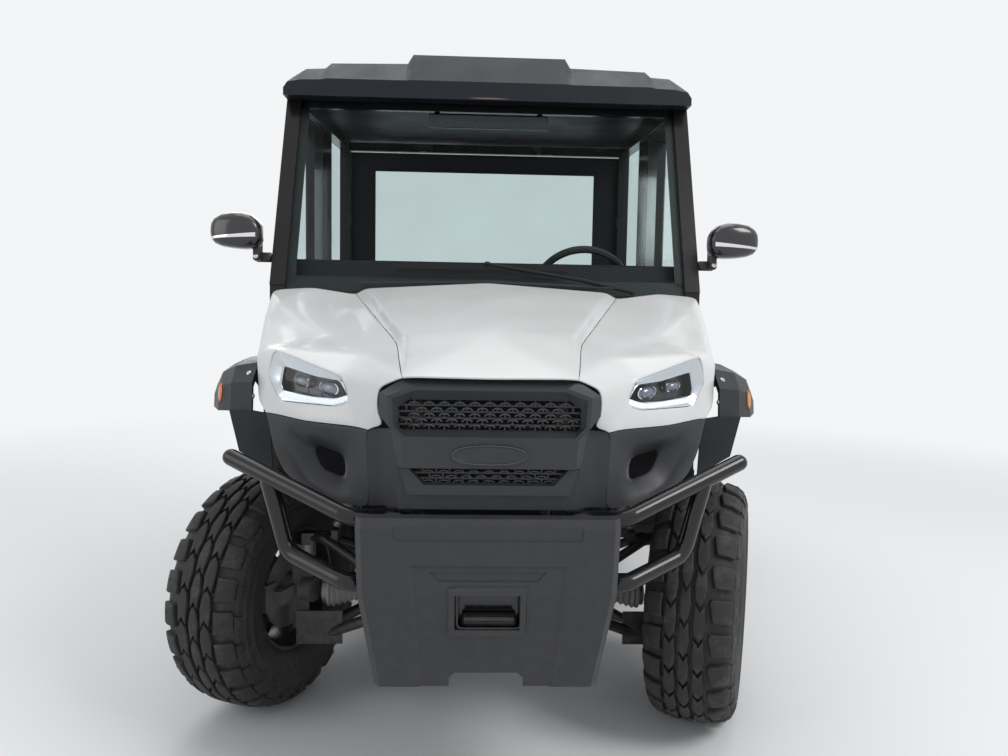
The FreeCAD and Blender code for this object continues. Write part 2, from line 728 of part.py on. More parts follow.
def add_steering():
    """The rack's housing, the rack bar with its tie rods, the column and the steering wheel."""
    rack = (s.rack_back, s.rack_up)
    bore = s.pin_radius + s.seat_gap
    half = s.rack_case_half
    case = cut("rack_case", bar_across(-half, half, 24, *rack), bar_across(-half - 5, half + 5, bore, *rack))
    housing = [case]
    for sign in (1, -1):
        housing.append(box(span(sign, half - 36, half - 6), (s.rack_back - 44, s.rack_back - 12),
                           (s.rack_up - 8, rail_low + 10 - s.seat_gap)))
    shaft = tube([(90, s.rack_back + 22, s.rack_up + 6), (200, 300, 480), (300, 402, 760)], 14, 30)
    rake = math.radians(float(s.column_rake))
    along = FreeCAD.Vector(0, math.cos(rake), math.sin(rake))
    boss = vec(s.wheel_out, s.wheel_back, s.wheel_up)
    column = rod(boss - along * 69, boss - along * 40.3, 25)
    place(group("steering_gear", [fuse("rack_housing", housing + [shaft]), column]))
    shift = -(s.tie_rod_reach * sine(s.rest_steer))
    inner = half + s.rack_travel
    bars = [bar_across(shift - inner - 8, shift + inner + 8, s.pin_radius, *rack)]
    for sign in (1, -1):
        joint = (kingpin_out * sign + shift, s.tie_rod_reach * cosine(s.rest_steer), s.rack_up + 14)
        bars.append(tube([(shift + inner * sign, s.rack_back, s.rack_up), joint], 9))
    place(fuse("tie_rods", bars))
    ring = new_body("ring")
    grip = s.steering_radius - 14
    octagon = [(grip + 14 * math.cos(math.radians(angle)), 14 * math.sin(math.radians(angle)))
               for angle in range(0, 360, 45)]
    revolve(ring, sketch(ring, "XZ_Plane", 0, [octagon]), "Z_Axis")
    spokes = [ring]
    for angle in (90, 210, 330):
        x, y = math.cos(math.radians(angle)), math.sin(math.radians(angle))
        end = (x * float(grip), y * float(grip), 0)
        spokes.append(beam((0, 0, -6), end, 30, 9, FreeCAD.Vector(-y, x, 0)))
    spokes.append(rod((0, 0, -40), (0, 0, 10), 42))
    wheel = fuse("steering_wheel", spokes)
    wheel.Placement = FreeCAD.Placement(
        boss + FreeCAD.Vector(0, front_axle_y.value, 0),
        FreeCAD.Rotation(FreeCAD.Vector(1, 0, 0), s.column_rake.value - 90))
    bind(wheel, ".Placement.Base.y", front_axle_y + s.wheel_back)
    nodes.append(wheel)


# The moulded skin of the nose. Each corner is given on the left side, from a datum on each axis:
# across from the middle or the cab's side, back from the cowl or the grille's face, up from the cowl,
# the front edge of the hood, the lower edge of the painted panels or the chin.
DATUMS = {
    "mid": as_size(0), "side": s.cab_half_width, "grille": s.grille_half_width,
    "cowl": cowl_back, "nose": -s.nose_reach,
    "head": s.screen_foot_up, "brow": s.hood_front_up, "low": s.cowl_low_up, "chin": s.chin_up,
}
SKIN = {
    # corner: across from, by, back from, by, up from, by
    "hood_rear_mid": ("mid", 0, "cowl", 0, "head", 18),
    "hood_rear_crease": ("mid", 398, "cowl", 0, "head", -7),
    "hood_rear_seam": ("mid", 426, "cowl", 0, "head", -27),
    "hood_bend_mid": ("mid", 0, "nose", 260, "brow", 99),
    "hood_bend_crease": ("mid", 207, "nose", 260, "brow", 86),
    "hood_bend_seam": ("mid", 226, "nose", 260, "brow", 61),
    "hood_front_mid": ("mid", 0, "nose", 0, "brow", 0),
    "hood_front_crease": ("grille", -78, "nose", 0, "brow", 2),
    "hood_front_seam": ("grille", -58, "nose", 8, "brow", 0),
    "wing_rear_crest": ("side", -147, "cowl", 0, "head", -7),
    "wing_rear_out": ("side", -15, "cowl", 0, "head", -17),
    "crease_rear": ("side", -89, "cowl", -195, "head", -63),
    "crease_mid": ("grille", 170, "nose", 410, "brow", 71),
    "crease_front": ("grille", 63, "nose", 230, "brow", 38),
    "shoulder_rear": ("side", -60, "cowl", -265, "head", -103),
    "shoulder_front": ("side", -120, "nose", 360, "brow", 39),
    "lamp_top_out": ("side", -185, "nose", 260, "brow", 46),
    "lamp_top_in": ("grille", 93, "nose", 150, "brow", -12),
    "lamp_tip_in": ("grille", 71, "nose", 130, "low", 47),
    "lamp_foot_in": ("grille", 100, "nose", 140, "low", 32),
    "lamp_foot_out": ("side", -204, "nose", 240, "low", 33),
    "lamp_tip_out": ("side", -170, "nose", 270, "low", 93),
    "cheek_mid": ("side", -132, "nose", 320, "low", 82),
    "cheek_low": ("side", -137, "nose", 300, "low", 28),
    "jaw_out": ("side", -167, "nose", 260, "low", 3),
    "jaw_mid": ("grille", 178, "nose", 170, "low", -9),
    "jaw_in": ("grille", 29, "nose", 90, "low", -10),
    "jaw_grille": ("grille", -15, "nose", 60, "low", 0),
    "grille_shoulder": ("grille", -2, "nose", 40, "brow", -27),
    "grille_waist": ("grille", 1, "nose", 50, "low", 32),
    "side_rear": ("side", -12, "cowl", 0, "low", 140),
    "side_mid": ("side", -66, "cowl", -300, "low", 140),
    "side_front": ("side", -121, "nose", 346, "low", 138),
    "fascia_out": ("side", -191, "nose", 240, "chin", 100),
    "fascia_turn": ("side", -218, "nose", 230, "chin", 45),
    "fascia_low": ("grille", 192, "nose", 190, "chin", 18),
    "fascia_foot": ("grille", 108, "nose", 130, "chin", -4),
    "fascia_in": ("grille", 20, "nose", 84, "chin", -4),
    "scoop_top_out": ("side", -226, "nose", 222, "low", -31),
    "scoop_top_in": ("grille", 75, "nose", 134, "low", -57),
    "scoop_foot_in": ("grille", 64, "nose", 112, "chin", 14),
    "scoop_foot_out": ("grille", 184, "nose", 188, "chin", 36),
    "well_top_out": ("side", -287, "nose", 232, "low", -71),
    "well_top_in": ("grille", 90, "nose", 176, "low", -86),
    "well_foot_in": ("grille", 86, "nose", 168, "chin", 45),
    "well_foot_out": ("grille", 150, "nose", 202, "chin", 62),
}
HOOD_FACES = """
hood_rear_mid hood_rear_crease hood_bend_crease hood_bend_mid
hood_rear_crease hood_rear_seam hood_bend_seam hood_bend_crease
hood_bend_mid hood_bend_crease hood_front_crease hood_front_mid
hood_bend_crease hood_bend_seam hood_front_seam hood_front_crease
"""
WING_FACES = """
hood_rear_seam wing_rear_crest crease_rear
hood_rear_seam crease_rear crease_mid
hood_rear_seam crease_mid hood_bend_seam
hood_bend_seam crease_mid crease_front
hood_bend_seam crease_front hood_front_seam
wing_rear_crest wing_rear_out crease_rear
wing_rear_out shoulder_rear crease_rear
crease_rear shoulder_rear crease_mid
shoulder_rear shoulder_front crease_mid
crease_mid shoulder_front lamp_top_out
crease_mid lamp_top_out crease_front
crease_front lamp_top_out lamp_top_in
crease_front lamp_top_in grille_shoulder
crease_front grille_shoulder hood_front_seam
lamp_top_in lamp_tip_in grille_waist grille_shoulder
lamp_tip_in jaw_in jaw_grille grille_waist
lamp_tip_in lamp_foot_in jaw_in
lamp_foot_in jaw_mid jaw_in
lamp_foot_in lamp_foot_out jaw_mid
lamp_foot_out jaw_out jaw_mid
lamp_foot_out cheek_low jaw_out
lamp_foot_out lamp_tip_out cheek_low
lamp_tip_out cheek_mid cheek_low
lamp_tip_out shoulder_front cheek_mid
lamp_tip_out lamp_top_out shoulder_front
wing_rear_out side_rear shoulder_rear
shoulder_rear side_rear side_mid
shoulder_rear side_mid shoulder_front
shoulder_front side_mid side_front
shoulder_front side_front cheek_mid
"""
FASCIA_FACES = """
jaw_out scoop_top_out jaw_mid
jaw_mid scoop_top_out scoop_top_in
jaw_mid scoop_top_in jaw_in
jaw_in scoop_top_in fascia_in
scoop_top_in scoop_foot_in fascia_in
scoop_foot_in fascia_foot fascia_in
scoop_foot_in fascia_low fascia_foot
scoop_foot_in scoop_foot_out fascia_low
scoop_foot_out fascia_turn fascia_low
scoop_foot_out fascia_out fascia_turn
scoop_foot_out scoop_top_out fascia_out
scoop_top_out jaw_out fascia_out
scoop_top_out well_top_out well_top_in scoop_top_in
scoop_top_in well_top_in well_foot_in scoop_foot_in
scoop_foot_in well_foot_in well_foot_out scoop_foot_out
scoop_foot_out well_foot_out well_top_out scoop_top_out
well_top_out well_foot_out well_foot_in well_top_in
"""
LAMP_RIM = ["lamp_top_out", "lamp_top_in", "lamp_tip_in", "lamp_foot_in", "lamp_foot_out", "lamp_tip_out"]


def skin_corners():
    """Both sides' corners of the nose skin, and the lamps' own corners set back from their rims."""
    corners = {}
    for name, (across, by_x, back, by_back, up, by_up) in SKIN.items():
        corners[name] = vec(DATUMS[across] + by_x, DATUMS[back] + by_back, DATUMS[up] + by_up)
    middle = sum((corners[name] for name in LAMP_RIM), FreeCAD.Vector()) / len(LAMP_RIM)
    set_back = FreeCAD.Vector(-0.35, 0.93, 0) * 16
    for name in LAMP_RIM:
        corners["lens_" + name] = middle + (corners[name] - middle) * 0.84 + set_back
    corners["lens_middle"] = middle + set_back * 1.4
    for name in list(corners):
        if abs(corners[name].x) > 0.001:
            corner = corners[name]
            corners["right_" + name] = FreeCAD.Vector(-corner.x, corner.y, corner.z)
    return corners


def lamp_faces():
    rows = []
    for near, far in zip(LAMP_RIM, LAMP_RIM[1:] + LAMP_RIM[:1]):
        rows.append(f"{near} {far} lens_{far} lens_{near}")
        rows.append(f"lens_{near} lens_{far} lens_middle")
    return "\n".join(rows)


def triangles(table, corners, mirrored):
    """The faces of a table as triangles, or those of the other side."""
    result = []
    for row in table.split("\n"):
        names = row.split()
        if mirrored:
            names = [n if "right_" + n not in corners else "right_" + n for n in reversed(names)]
        for k in range(1, len(names) - 1):
            result.append((names[0], names[k], names[k + 1]))
    return result


def edges_of(face):
    return ((face[0], face[1]), (face[1], face[2]), (face[2], face[0]))


def turned_alike(faces, corners):
    """The faces with one winding, the first of them facing up."""
    by_edge = {}
    for face in faces:
        for a, b in edges_of(face):
            by_edge.setdefault(frozenset((a, b)), []).append(face)
    a, b, c = (corners[n] for n in faces[0])
    first = faces[0] if (b - a).cross(c - a).z > 0 else faces[0][::-1]
    done = {frozenset(faces[0]): first}
    queue = [first]
    while queue:
        face = queue.pop()
        for a, b in edges_of(face):
            for other in by_edge[frozenset((a, b))]:
                if frozenset(other) not in done:
                    alike = (b, a) in edges_of(other)
                    done[frozenset(other)] = other if alike else other[::-1]
                    queue.append(done[frozenset(other)])
    return [done[frozenset(face)] for face in faces]


def inner_corners(faces, corners, wall):
    """Each corner moved in by the wall, square to the faces that meet there."""
    sums = {}
    for face in faces:
        points = [corners[n] for n in face]
        normal = (points[1] - points[0]).cross(points[2] - points[0]).normalize()
        for k, name in enumerate(face):
            angle = (points[k - 1] - points[k]).getAngle(points[(k + 1) % 3] - points[k])
            sums.setdefault(name, []).append((normal, angle))
    moved = {}
    for name, rows in sums.items():
        mean = sum((normal * angle for normal, angle in rows), FreeCAD.Vector()).normalize()
        if "rear" in name and "crease_rear" not in name and "shoulder_rear" not in name:
            mean.y = 0
            mean.normalize()
        if abs(corners[name].x) < 0.001:
            mean.x = 0
        least = max(0.6, min(mean.dot(normal) for normal, angle in rows))
        moved[name] = corners[name] - mean * (wall / least)
    return moved


def facet(points):
    return Part.Face(Part.makePolygon(list(points) + [points[0]]))


def panel_shape(faces, outer, inner):
    """A closed panel: its outer faces, its inner faces and a wall round its border."""
    sheets = []
    directed = {edge for face in faces for edge in edges_of(face)}
    for face in faces:
        sheets.append(facet([outer[n] for n in face]))
        sheets.append(facet([inner[n] for n in reversed(face)]))
    for a, b in sorted(directed):
        if (b, a) not in directed:
            first, second = sorted((a, b))
            sheets.append(facet([outer[first], outer[second], inner[second]]))
            sheets.append(facet([outer[first], inner[second], inner[first]]))
    solid = Part.makeSolid(Part.makeShell(sheets))
    if solid.Volume < 0:
        solid.reverse()
    return solid


def add_nose_skin():
    """Hood, wings, side fascias and headlamps, cut from one skin so that their edges meet."""
    corners = skin_corners()
    tables = {"hood": HOOD_FACES.strip(), "wing": WING_FACES.strip(), "fascia": FASCIA_FACES.strip(),
              "lamp": lamp_faces()}
    all_faces = []
    lists = {}
    for panel, table in tables.items():
        for mirrored in (False, True):
            lists[panel, mirrored] = triangles(table, corners, mirrored)
            all_faces += lists[panel, mirrored]
    alike = turned_alike(all_faces, corners)
    lookup = {frozenset(face): face for face in alike}
    inner = inner_corners(alike, corners, float(s.skin_wall))

    def panel(name, mirrored_sides):
        faces = [lookup[frozenset(face)] for side in mirrored_sides for face in lists[name, side]]
        return panel_shape(faces, corners, inner)
    skin_node("hood_panel", [panel("hood", (False, True))])
    skin_node("front_wings", [panel("wing", (False,)), panel("wing", (True,))])
    skin_node("side_fascias", [panel("fascia", (False,)), panel("fascia", (True,))])
    skin_node("headlamps", [panel("lamp", (False,)), panel("lamp", (True,))])


def skin_node(label, solids):
    item = doc.addObject("Part::Feature", label)
    item.Label = label
    item.Shape = solids[0] if len(solids) == 1 else Part.makeCompound(solids)
    place(item)


def add_grille():
    """The grille surround with its two mesh openings and blank badge, and the meshes behind them."""
    body = new_body("grille_surround")
    w = s.grille_half_width - 9
    top = s.hood_front_up - 7
    rear = s.nose_reach - 60 + s.seat_gap
    outline = mirrored_loop([
        (w - 48, top), (w, top - 30), (w + 2, s.cowl_low_up + 32), (w - 26, s.cowl_low_up),
        (w - 40, s.chin_up + 100), (w - 42, s.chin_up + 8)])
    face = mirrored_loop([
        (w - 74, top - 14), (w - 20, top - 34), (w - 24, s.cowl_low_up + 6), (w - 50, s.cowl_low_up - 22),
        (w - 52, s.chin_up + 100), (w - 54, s.chin_up + 8)])
    back_sketch = sketch(body, "XZ_Plane", rear, [outline])
    mid_sketch = sketch(body, "XZ_Plane", s.nose_reach - 20, [outline])
    face_sketch = sketch(body, "XZ_Plane", s.nose_reach, [face])
    loft(body, [back_sketch, mid_sketch, face_sketch])
    upper = mirrored_loop([(w - 69, s.cowl_low_up + 66), (w - 42, s.cowl_low_up + 48),
                           (w - 42, s.cowl_low_up + 4), (w - 52, s.cowl_low_up - 4)])
    mouth = mirrored_loop([(w - 83, s.cowl_low_up + 91), (w - 27, s.cowl_low_up + 73),
                           (w - 30, s.cowl_low_up + 11), (w - 57, s.cowl_low_up - 17)])
    lower = mirrored_loop([(w - 67, s.chin_up + 101), (w - 99, s.chin_up + 65)])
    bevel = ((s.nose_reach + 4, mouth), (s.nose_reach - 18, upper))
    loft(body, [sketch(body, "XZ_Plane", ahead, [loop]) for ahead, loop in bevel],
         "PartDesign::SubtractiveLoft")
    low, high = s.chin_up - 5, s.chin_up + 103
    step = [(-w - 10, low), (w + 10, low), (w + 10, high), (-w - 10, high)]
    sunk = s.nose_reach - 22
    pocket(body, sketch(body, "XZ_Plane", s.nose_reach + 5, [step]), as_size(27))
    high = s.chin_up + 100
    frame_lip = [(45 - w, high), (63 - w, high - 58), (w - 63, high - 58), (w - 45, high),
                 (w - 66, high), (w - 98, high - 36), (98 - w, high - 36), (66 - w, high)]
    pad(body, sketch(body, "XZ_Plane", sunk - 1, [frame_lip]), as_size(10))
    depth = s.nose_reach - rear + 5
    pocket(body, sketch(body, "XZ_Plane", s.nose_reach + 5, [upper, lower]), depth + 5)
    badge = mirrored_loop([(0, s.cowl_low_up - 29), (78, s.cowl_low_up - 47), (78, s.cowl_low_up - 64),
                           (50, s.cowl_low_up - 76)])
    pad(body, sketch(body, "XZ_Plane", s.nose_reach - 1, [badge]), as_size(4))
    place(body)
    mesh = []
    clips = []
    for loop in (upper, lower):
        clip = new_body("mesh_clip")
        inside = [(u - s.seat_gap if float(u) > 0 else u + s.seat_gap, v) for u, v in loop]
        pad(clip, sketch(clip, "XZ_Plane", s.nose_reach - 40, [inside]), as_size(30))
        clips.append(clip)
    for low, high, half, rows, clip in ((s.cowl_low_up - 4, s.cowl_low_up + 66, w - 42, 5, clips[0]),
                                        (s.chin_up + 65, s.chin_up + 101, w - 67, 3, clips[1])):
        plate = (-(s.nose_reach - 26), -(s.nose_reach - 32))
        bars = []
        step = (high - low) / rows
        for row in range(rows + 1):
            bars.append(box((-half, half), plate, (low + step * row - (0 if row == 0 else 2),
                                                   low + step * row + (0 if row == rows else 2))))
        cells = 12
        pitch = half * 2 / cells
        for row in range(rows):
            for cell in range(cells + 1):
                x = -half + pitch * cell + (pitch / 2 if row % 2 else 0)
                if float(x) < float(half):
                    left = x if cell == 0 and row % 2 == 0 else x - 2
                    bars.append(box((left, x + 2), plate, (low + step * row, low + step * (row + 1))))
        mesh.append(common("mesh_panel", fuse("mesh_bars", bars), clip))
    place(group("grille_mesh", mesh))


def add_bumper():
    """The bumper cover: a hollow moulding with a sunk middle panel, a framed opening and a bottom notch."""
    body = new_body("bumper_cover")
    w = s.bumper_half_width
    wall = s.skin_wall
    top = s.bumper_top_up
    reach = s.front_overhang
    panel_up = top - 101
    bend_up = top - 168
    foot_reach = reach - 60
    rows = {  # half width, reach ahead of the axle and half width of the sunk panel, by height
        "top": (top, w, reach - 8, None), "roll": (top - 22, w, reach, None),
        "panel": (panel_up, w - 3, reach, 170), "bend": (bend_up, w - 5, reach, 165),
        "foot": (s.bumper_foot_up, w - 36, foot_reach, 148)}

    def section(row, inset=0, depth=36, panel=None):
        up, half, front = row[:3]
        chamfer = 14
        rear = depth - front
        half = half - inset
        front = inset - front
        sunk = front + s.panel_recess
        middle = []
        if panel is not None:
            middle = [(-panel, front), (6 - panel, sunk), (panel - 6, sunk), (panel, front)]
        left = [(-half, rear), (-half, front + chamfer), (-half + chamfer, front)]
        right = [(half - chamfer, front), (half, front + chamfer), (half, rear)]
        return sketch(body, "XY_Plane", up, [left + middle + right])
    loft(body, [section(rows[name]) for name in ("top", "roll", "panel")])
    loft(body, [section(rows[name], panel=rows[name][3]) for name in ("panel", "bend", "foot")])
    inside = wall + s.panel_recess
    hollow = [(top - wall, w, reach - 8), rows["roll"], rows["bend"],
              (s.bumper_foot_up - 10, w - 36, foot_reach - 3)]
    loft(body, [section(row, inside, 60) for row in hollow], "PartDesign::SubtractiveLoft")
    slope = as_size(60) / (bend_up - s.bumper_foot_up)
    pad(body, sketch(body, "XZ_Plane", reach - 40, [[
        (-84, top - 263), (84, top - 263), (84, top - 150), (-84, top - 150)]]), as_size(40))
    before = [(-reach, top - 140), (-reach, bend_up), (slope * (bend_up - top + 276) - reach - 4, top - 276),
              (-reach - 40, top - 276), (-reach - 40, top - 140)]
    pocket(body, sketch(body, "YZ_Plane", as_size(-100), [before]), as_size(200), reverse=True)
    strip = mirrored_loop([(204, top + 5), (204, top - 41), (198, top - 47)])
    pocket(body, sketch(body, "XZ_Plane", reach + 2, [strip]), as_size(4.5))
    lip = [(-108, top - 136), (108, top - 136), (126, top - 115), (-126, top - 115)]
    pocket(body, sketch(body, "XZ_Plane", reach + 2, [lip]), s.panel_recess + 5)
    hole = [(-71, top - 249), (71, top - 249), (71, top - 166), (-71, top - 166)]
    notch = [(-83, s.bumper_foot_up - 20), (83, s.bumper_foot_up - 20), (83, s.bumper_foot_up + 22),
             (70, s.bumper_foot_up + 35), (-70, s.bumper_foot_up + 35), (-83, s.bumper_foot_up + 22)]
    pocket(body, sketch(body, "XZ_Plane", reach + 20, [hole, notch]), as_size(140))
    place(body)

    tubes = []
    for sign in (1, -1):
        stem = frame_front + 20
        seat = (upright_out + s.seat_gap) * sign
        upper = tube([((s.cab_half_width - 106) * sign, 180 - s.nose_reach, s.chin_up + 90),
                      (306 * sign, 42 - s.nose_reach, s.chin_up - 18), (238 * sign, stem, s.chin_up - 26),
                      (seat, stem, s.chin_up - 26)], s.guard_radius, 50)
        lower = tube([((s.cab_half_width - 207) * sign, 134 - s.nose_reach, s.chin_up + 42),
                      ((s.cab_half_width - 253) * sign, 120 - s.nose_reach, s.chin_up - 121),
                      (300 * sign, 26 - s.nose_reach, s.chin_up - 165), (240 * sign, stem, s.chin_up - 170),
                      (seat, stem, s.chin_up - 170)], s.guard_radius, 50)
        tubes.append(fuse("guard_side", [upper, lower]))
    place(group("guard_tubes", tubes))


def add_flares():
    """Front flares that curve in at their front end, with an inner liner, and plain rear flares."""
    low = s.cowl_low_up
    rear = post_front - s.seat_gap
    arches = (  # distance in from the flare's outside, then the outer edge from the front end to the rear
        (141, ((-268, 0), (-262, 74), (-200, 120), (-60, 136), (150, 136), (300, 99), (rear, 14))),
        (75, ((-226, -4), (-218, 66), (-172, 108), (-50, 124), (148, 124), (298, 90), (rear, 8))),
        (28, ((-176, -10), (-168, 50), (-132, 88), (-30, 104), (140, 104), (292, 74), (rear, -2))),
        (0, ((-124, -6), (-118, 28), (-92, 52), (-12, 66), (130, 66), (280, 44), (rear, -14))))
    wall = 14
    inwards = ((wall, 0), (wall, wall), (wall, wall), (wall, wall), (0, wall), (-wall, wall), (-wall, 7))
    flares = []
    for sign in (1, -1):
        body = new_body("front_flare")
        outlines = []
        for inset, edge in arches:
            outer = [(back, low + up) for back, up in edge] + [(rear, s.chin_up)]
            inner = [(back + by_back, low + up - by_up)
                     for (back, up), (by_back, by_up) in zip(edge, inwards)]
            outlines.append(sketch(body, "YZ_Plane", (flare_out - inset) * sign,
                                   [outer + [(rear - wall - 8, s.chin_up)] + inner[::-1]]))
        loft(body, outlines)
        liner = new_body("liner")
        shield = ((139, 2), (185, -6), (191, -152), (107, -102), (83, 2))
        pad(liner, sketch(liner, "XZ_Plane", as_size(256), [[
            ((flare_out - inset) * sign, low + up) for inset, up in shield]]), as_size(6))
        flares.append(fuse("flare_and_liner", [body, liner]))
    place(group("front_flares", flares))
    flares = []
    for sign in (1, -1):
        arch = [(-260, low - 18), (-250, low + 44), (-190, low + 89), (190, low + 89), (250, low + 44),
                (330, low - 18), (330, low - 36), (316, low - 36), (240, low + 32), (184, low + 75),
                (-184, low + 75), (-238, low + 32), (-246, low - 36), (-260, low - 36)]
        body = new_body("rear_flare")
        inner, outer = span(sign, bed_half_width + s.seat_gap, flare_out)
        pad(body, sketch(body, "YZ_Plane", inner, [arch]), outer - inner)
        flares.append(body)
    place(group("rear_flares", flares), axle=rear_axle_y)


def rail_up(back):
    """Top face of the cab's side rail at a place along it."""
    front = s.screen_top_back + 25
    return header_front_up + (as_size(back) - front) / (cab_rear - front) * s.roof_rise


def add_cab():
    """Posts, sills and rails of the cab as one welded cage."""
    out = s.cab_half_width
    mid = out - s.pillar_width / 2
    pieces = []
    for sign in (1, -1):
        pieces.append(box(span(sign, post_in, out), (post_front, cab_rear), (sill_low, s.sill_up)))
        pieces.append(box(span(sign, post_in, out), (post_front, post_rear), (sill_low, s.screen_foot_up)))
        foot = (mid * sign, s.screen_foot_back + 17, s.screen_foot_up - 7)
        top = (mid * sign, s.screen_top_back + 17, header_front_up - 15)
        pieces.append(beam(foot, top, s.pillar_width, s.pillar_width - 3))
        pieces.append(beam((mid * sign, s.screen_top_back + 14, rail_up(s.screen_top_back + 14) - 20),
                           (mid * sign, cab_rear, rail_up(cab_rear) - 20), s.pillar_width, 40))
        pieces.append(box(span(sign, out - s.door_wall, out), (s.door_rear_back + s.door_gap, side_post_rear),
                          (sill_low, rail_up(s.door_rear_back + 50) - 20)))
        pieces.append(box(span(sign, post_in, out), (cab_rear - 50, cab_rear),
                          (sill_low, rail_up(cab_rear) - 20)))
        pieces += hinge_half(sign, -1)
    pieces.append(box((-out + 2, out - 2), (s.screen_top_back + 18, s.screen_top_back + 62),
                      (header_front_up - 38, header_front_up - 4)))
    pieces.append(box((-out + 2, out - 2), (cab_rear - 44, cab_rear - 2),
                      (rail_up(cab_rear) - 42, rail_up(cab_rear) - 4)))
    pieces.append(box((-out + 2, out - 2), (cab_rear - 44, cab_rear - 2), (sill_low, s.sill_up)))
    pieces.append(box((-post_in - 2, post_in + 2), (cowl_back + s.seat_gap, cowl_back + 60),
                      (s.screen_foot_up - 70, s.screen_foot_up - 36)))
    pieces.append(box((-460, 460), (cowl_back + s.seat_gap, cowl_back + 5),
                      (s.screen_foot_up - 40, s.screen_foot_up - 18)))
    place(fuse("cab_frame", pieces))


def add_screen_and_glass():
    """The raked windscreen, and the fixed rear and quarter windows."""
    half = post_in - s.seat_gap
    foot = vec(0, s.screen_foot_back, s.screen_foot_up)
    run = vec(0, s.screen_top_back, s.screen_top_up) - foot
    normal = FreeCAD.Vector(1, 0, 0).cross(run).normalize() * float(s.glass_wall)
    low_corner = foot - run * ((36 - float(s.seat_gap)) / run.z)
    top_corner = vec(0, s.screen_top_back, s.screen_top_up)
    side = FreeCAD.Vector(float(half), 0, 0)
    face = facet([low_corner - side, low_corner + side, top_corner + side, top_corner - side])
    item = doc.addObject("Part::Feature", "windscreen")
    item.Label = "windscreen"
    item.Shape = face.extrude(normal)
    place(item)


def add_roof():
    """The moulded roof: a sloped visor, a raised middle, stepped sides and a slight lift towards the rear."""
    body = new_body("roof_panel")
    out = s.cab_half_width - 2
    top = header_front_up + s.roof_crown
    end = cab_rear + s.roof_tail
    stations = (  # back from the front axle, lift, and drops below the top across the section
        (s.roof_front_back, 0, (116, 116, 118, 118, 122, 124, 132, 152)),
        (s.roof_front_back + s.visor_reach, 0, (0, 0, 32, 38, 56, 60, 88, 150)),
        (end, s.roof_rise / 2, (0, 0, 32, 38, 56, 60, 88, 150)))
    across = (as_size(0), as_size(272), as_size(292), out - 150, out - 128, out - 60, out - 14, out)
    outlines = []
    for back, lift, drops in stations:
        half = [(x, top + lift - drop) for x, drop in zip(across, drops)]
        outlines.append(sketch(body, "XZ_Plane", -back, [
            mirrored_loop(half + [(out, top - s.lip_drop), (0, top - s.lip_drop)])]))
    loft(body, outlines)
    beyond = end + 20
    clear = s.seat_gap + 0.4
    foot = top - s.lip_drop - 63
    under = [(s.roof_front_back + 58, foot), (s.roof_front_back + 66, header_front_up + 1),
             (s.screen_top_back + 25, header_front_up + clear), (beyond, rail_up(beyond) + clear),
             (beyond, foot)]
    pocket(body, sketch(body, "YZ_Plane", out + 30, [under]), out * 2 + 60)
    place(body)


def add_cab_panels():
    """Lower rear wall and quarter panels behind the doors, and the fixed glass above them."""
    gap = s.seat_gap
    wall = s.skin_wall
    inside = post_in - gap
    rear_high = rail_up(cab_rear - 44) - 42 - gap
    body = new_body("rear_wall")
    outline = mirrored_loop([(inside, rear_high), (inside, s.sill_up + gap)])
    window = mirrored_loop([(545, s.belt_up + 10), (545, rear_high - 90)])
    pad(body, sketch(body, "XZ_Plane", -(cab_rear - 6), [outline, window]), wall)
    sheets = [body]
    panes = []
    pane = new_body("rear_pane")
    pad(pane, sketch(pane, "XZ_Plane", -(cab_rear - 6), [mirrored_loop(
        [(545 - gap, s.belt_up + 10 + gap), (545 - gap, rear_high - 90 - gap)])]), s.glass_wall)
    panes.append(pane)
    front = side_post_rear + gap
    rear = cab_rear - 50 - gap
    for sign in (1, -1):
        low, high = span(sign, s.cab_half_width - s.door_wall + 4, s.cab_half_width - s.door_wall + 10)
        quarter = new_body("quarter_panel")
        foot = s.sill_up + gap
        pad(quarter, sketch(quarter, "YZ_Plane", low, [[
            (front, foot), (rear, foot), (rear, s.belt_up), (front, s.belt_up)]]), high - low)
        sheets.append(quarter)
        glass = new_body("quarter_pane")
        pad(glass, sketch(glass, "YZ_Plane", low, [[
            (front, s.belt_up + gap), (rear, s.belt_up + gap),
            (rear, rail_up(rear) - 40 - gap * 4), (front, rail_up(front) - 40 - gap * 4)]]), s.glass_wall)
        panes.append(glass)
    place(group("cab_panels", sheets))
    place(group("cab_glass", panes))


def door_outline(front, rear, low, high_gap):
    """The side view of a door, its front edge leaning back with the windscreen's post above the belt."""
    knee = s.belt_up - 22
    top_front = front + lean * (header_front_up - 60 - knee) - 8
    return [(front, low), (front, knee), (top_front, rail_up(top_front) - 40 - high_gap),
            (rear, rail_up(rear) - 40 - high_gap), (rear, low)]


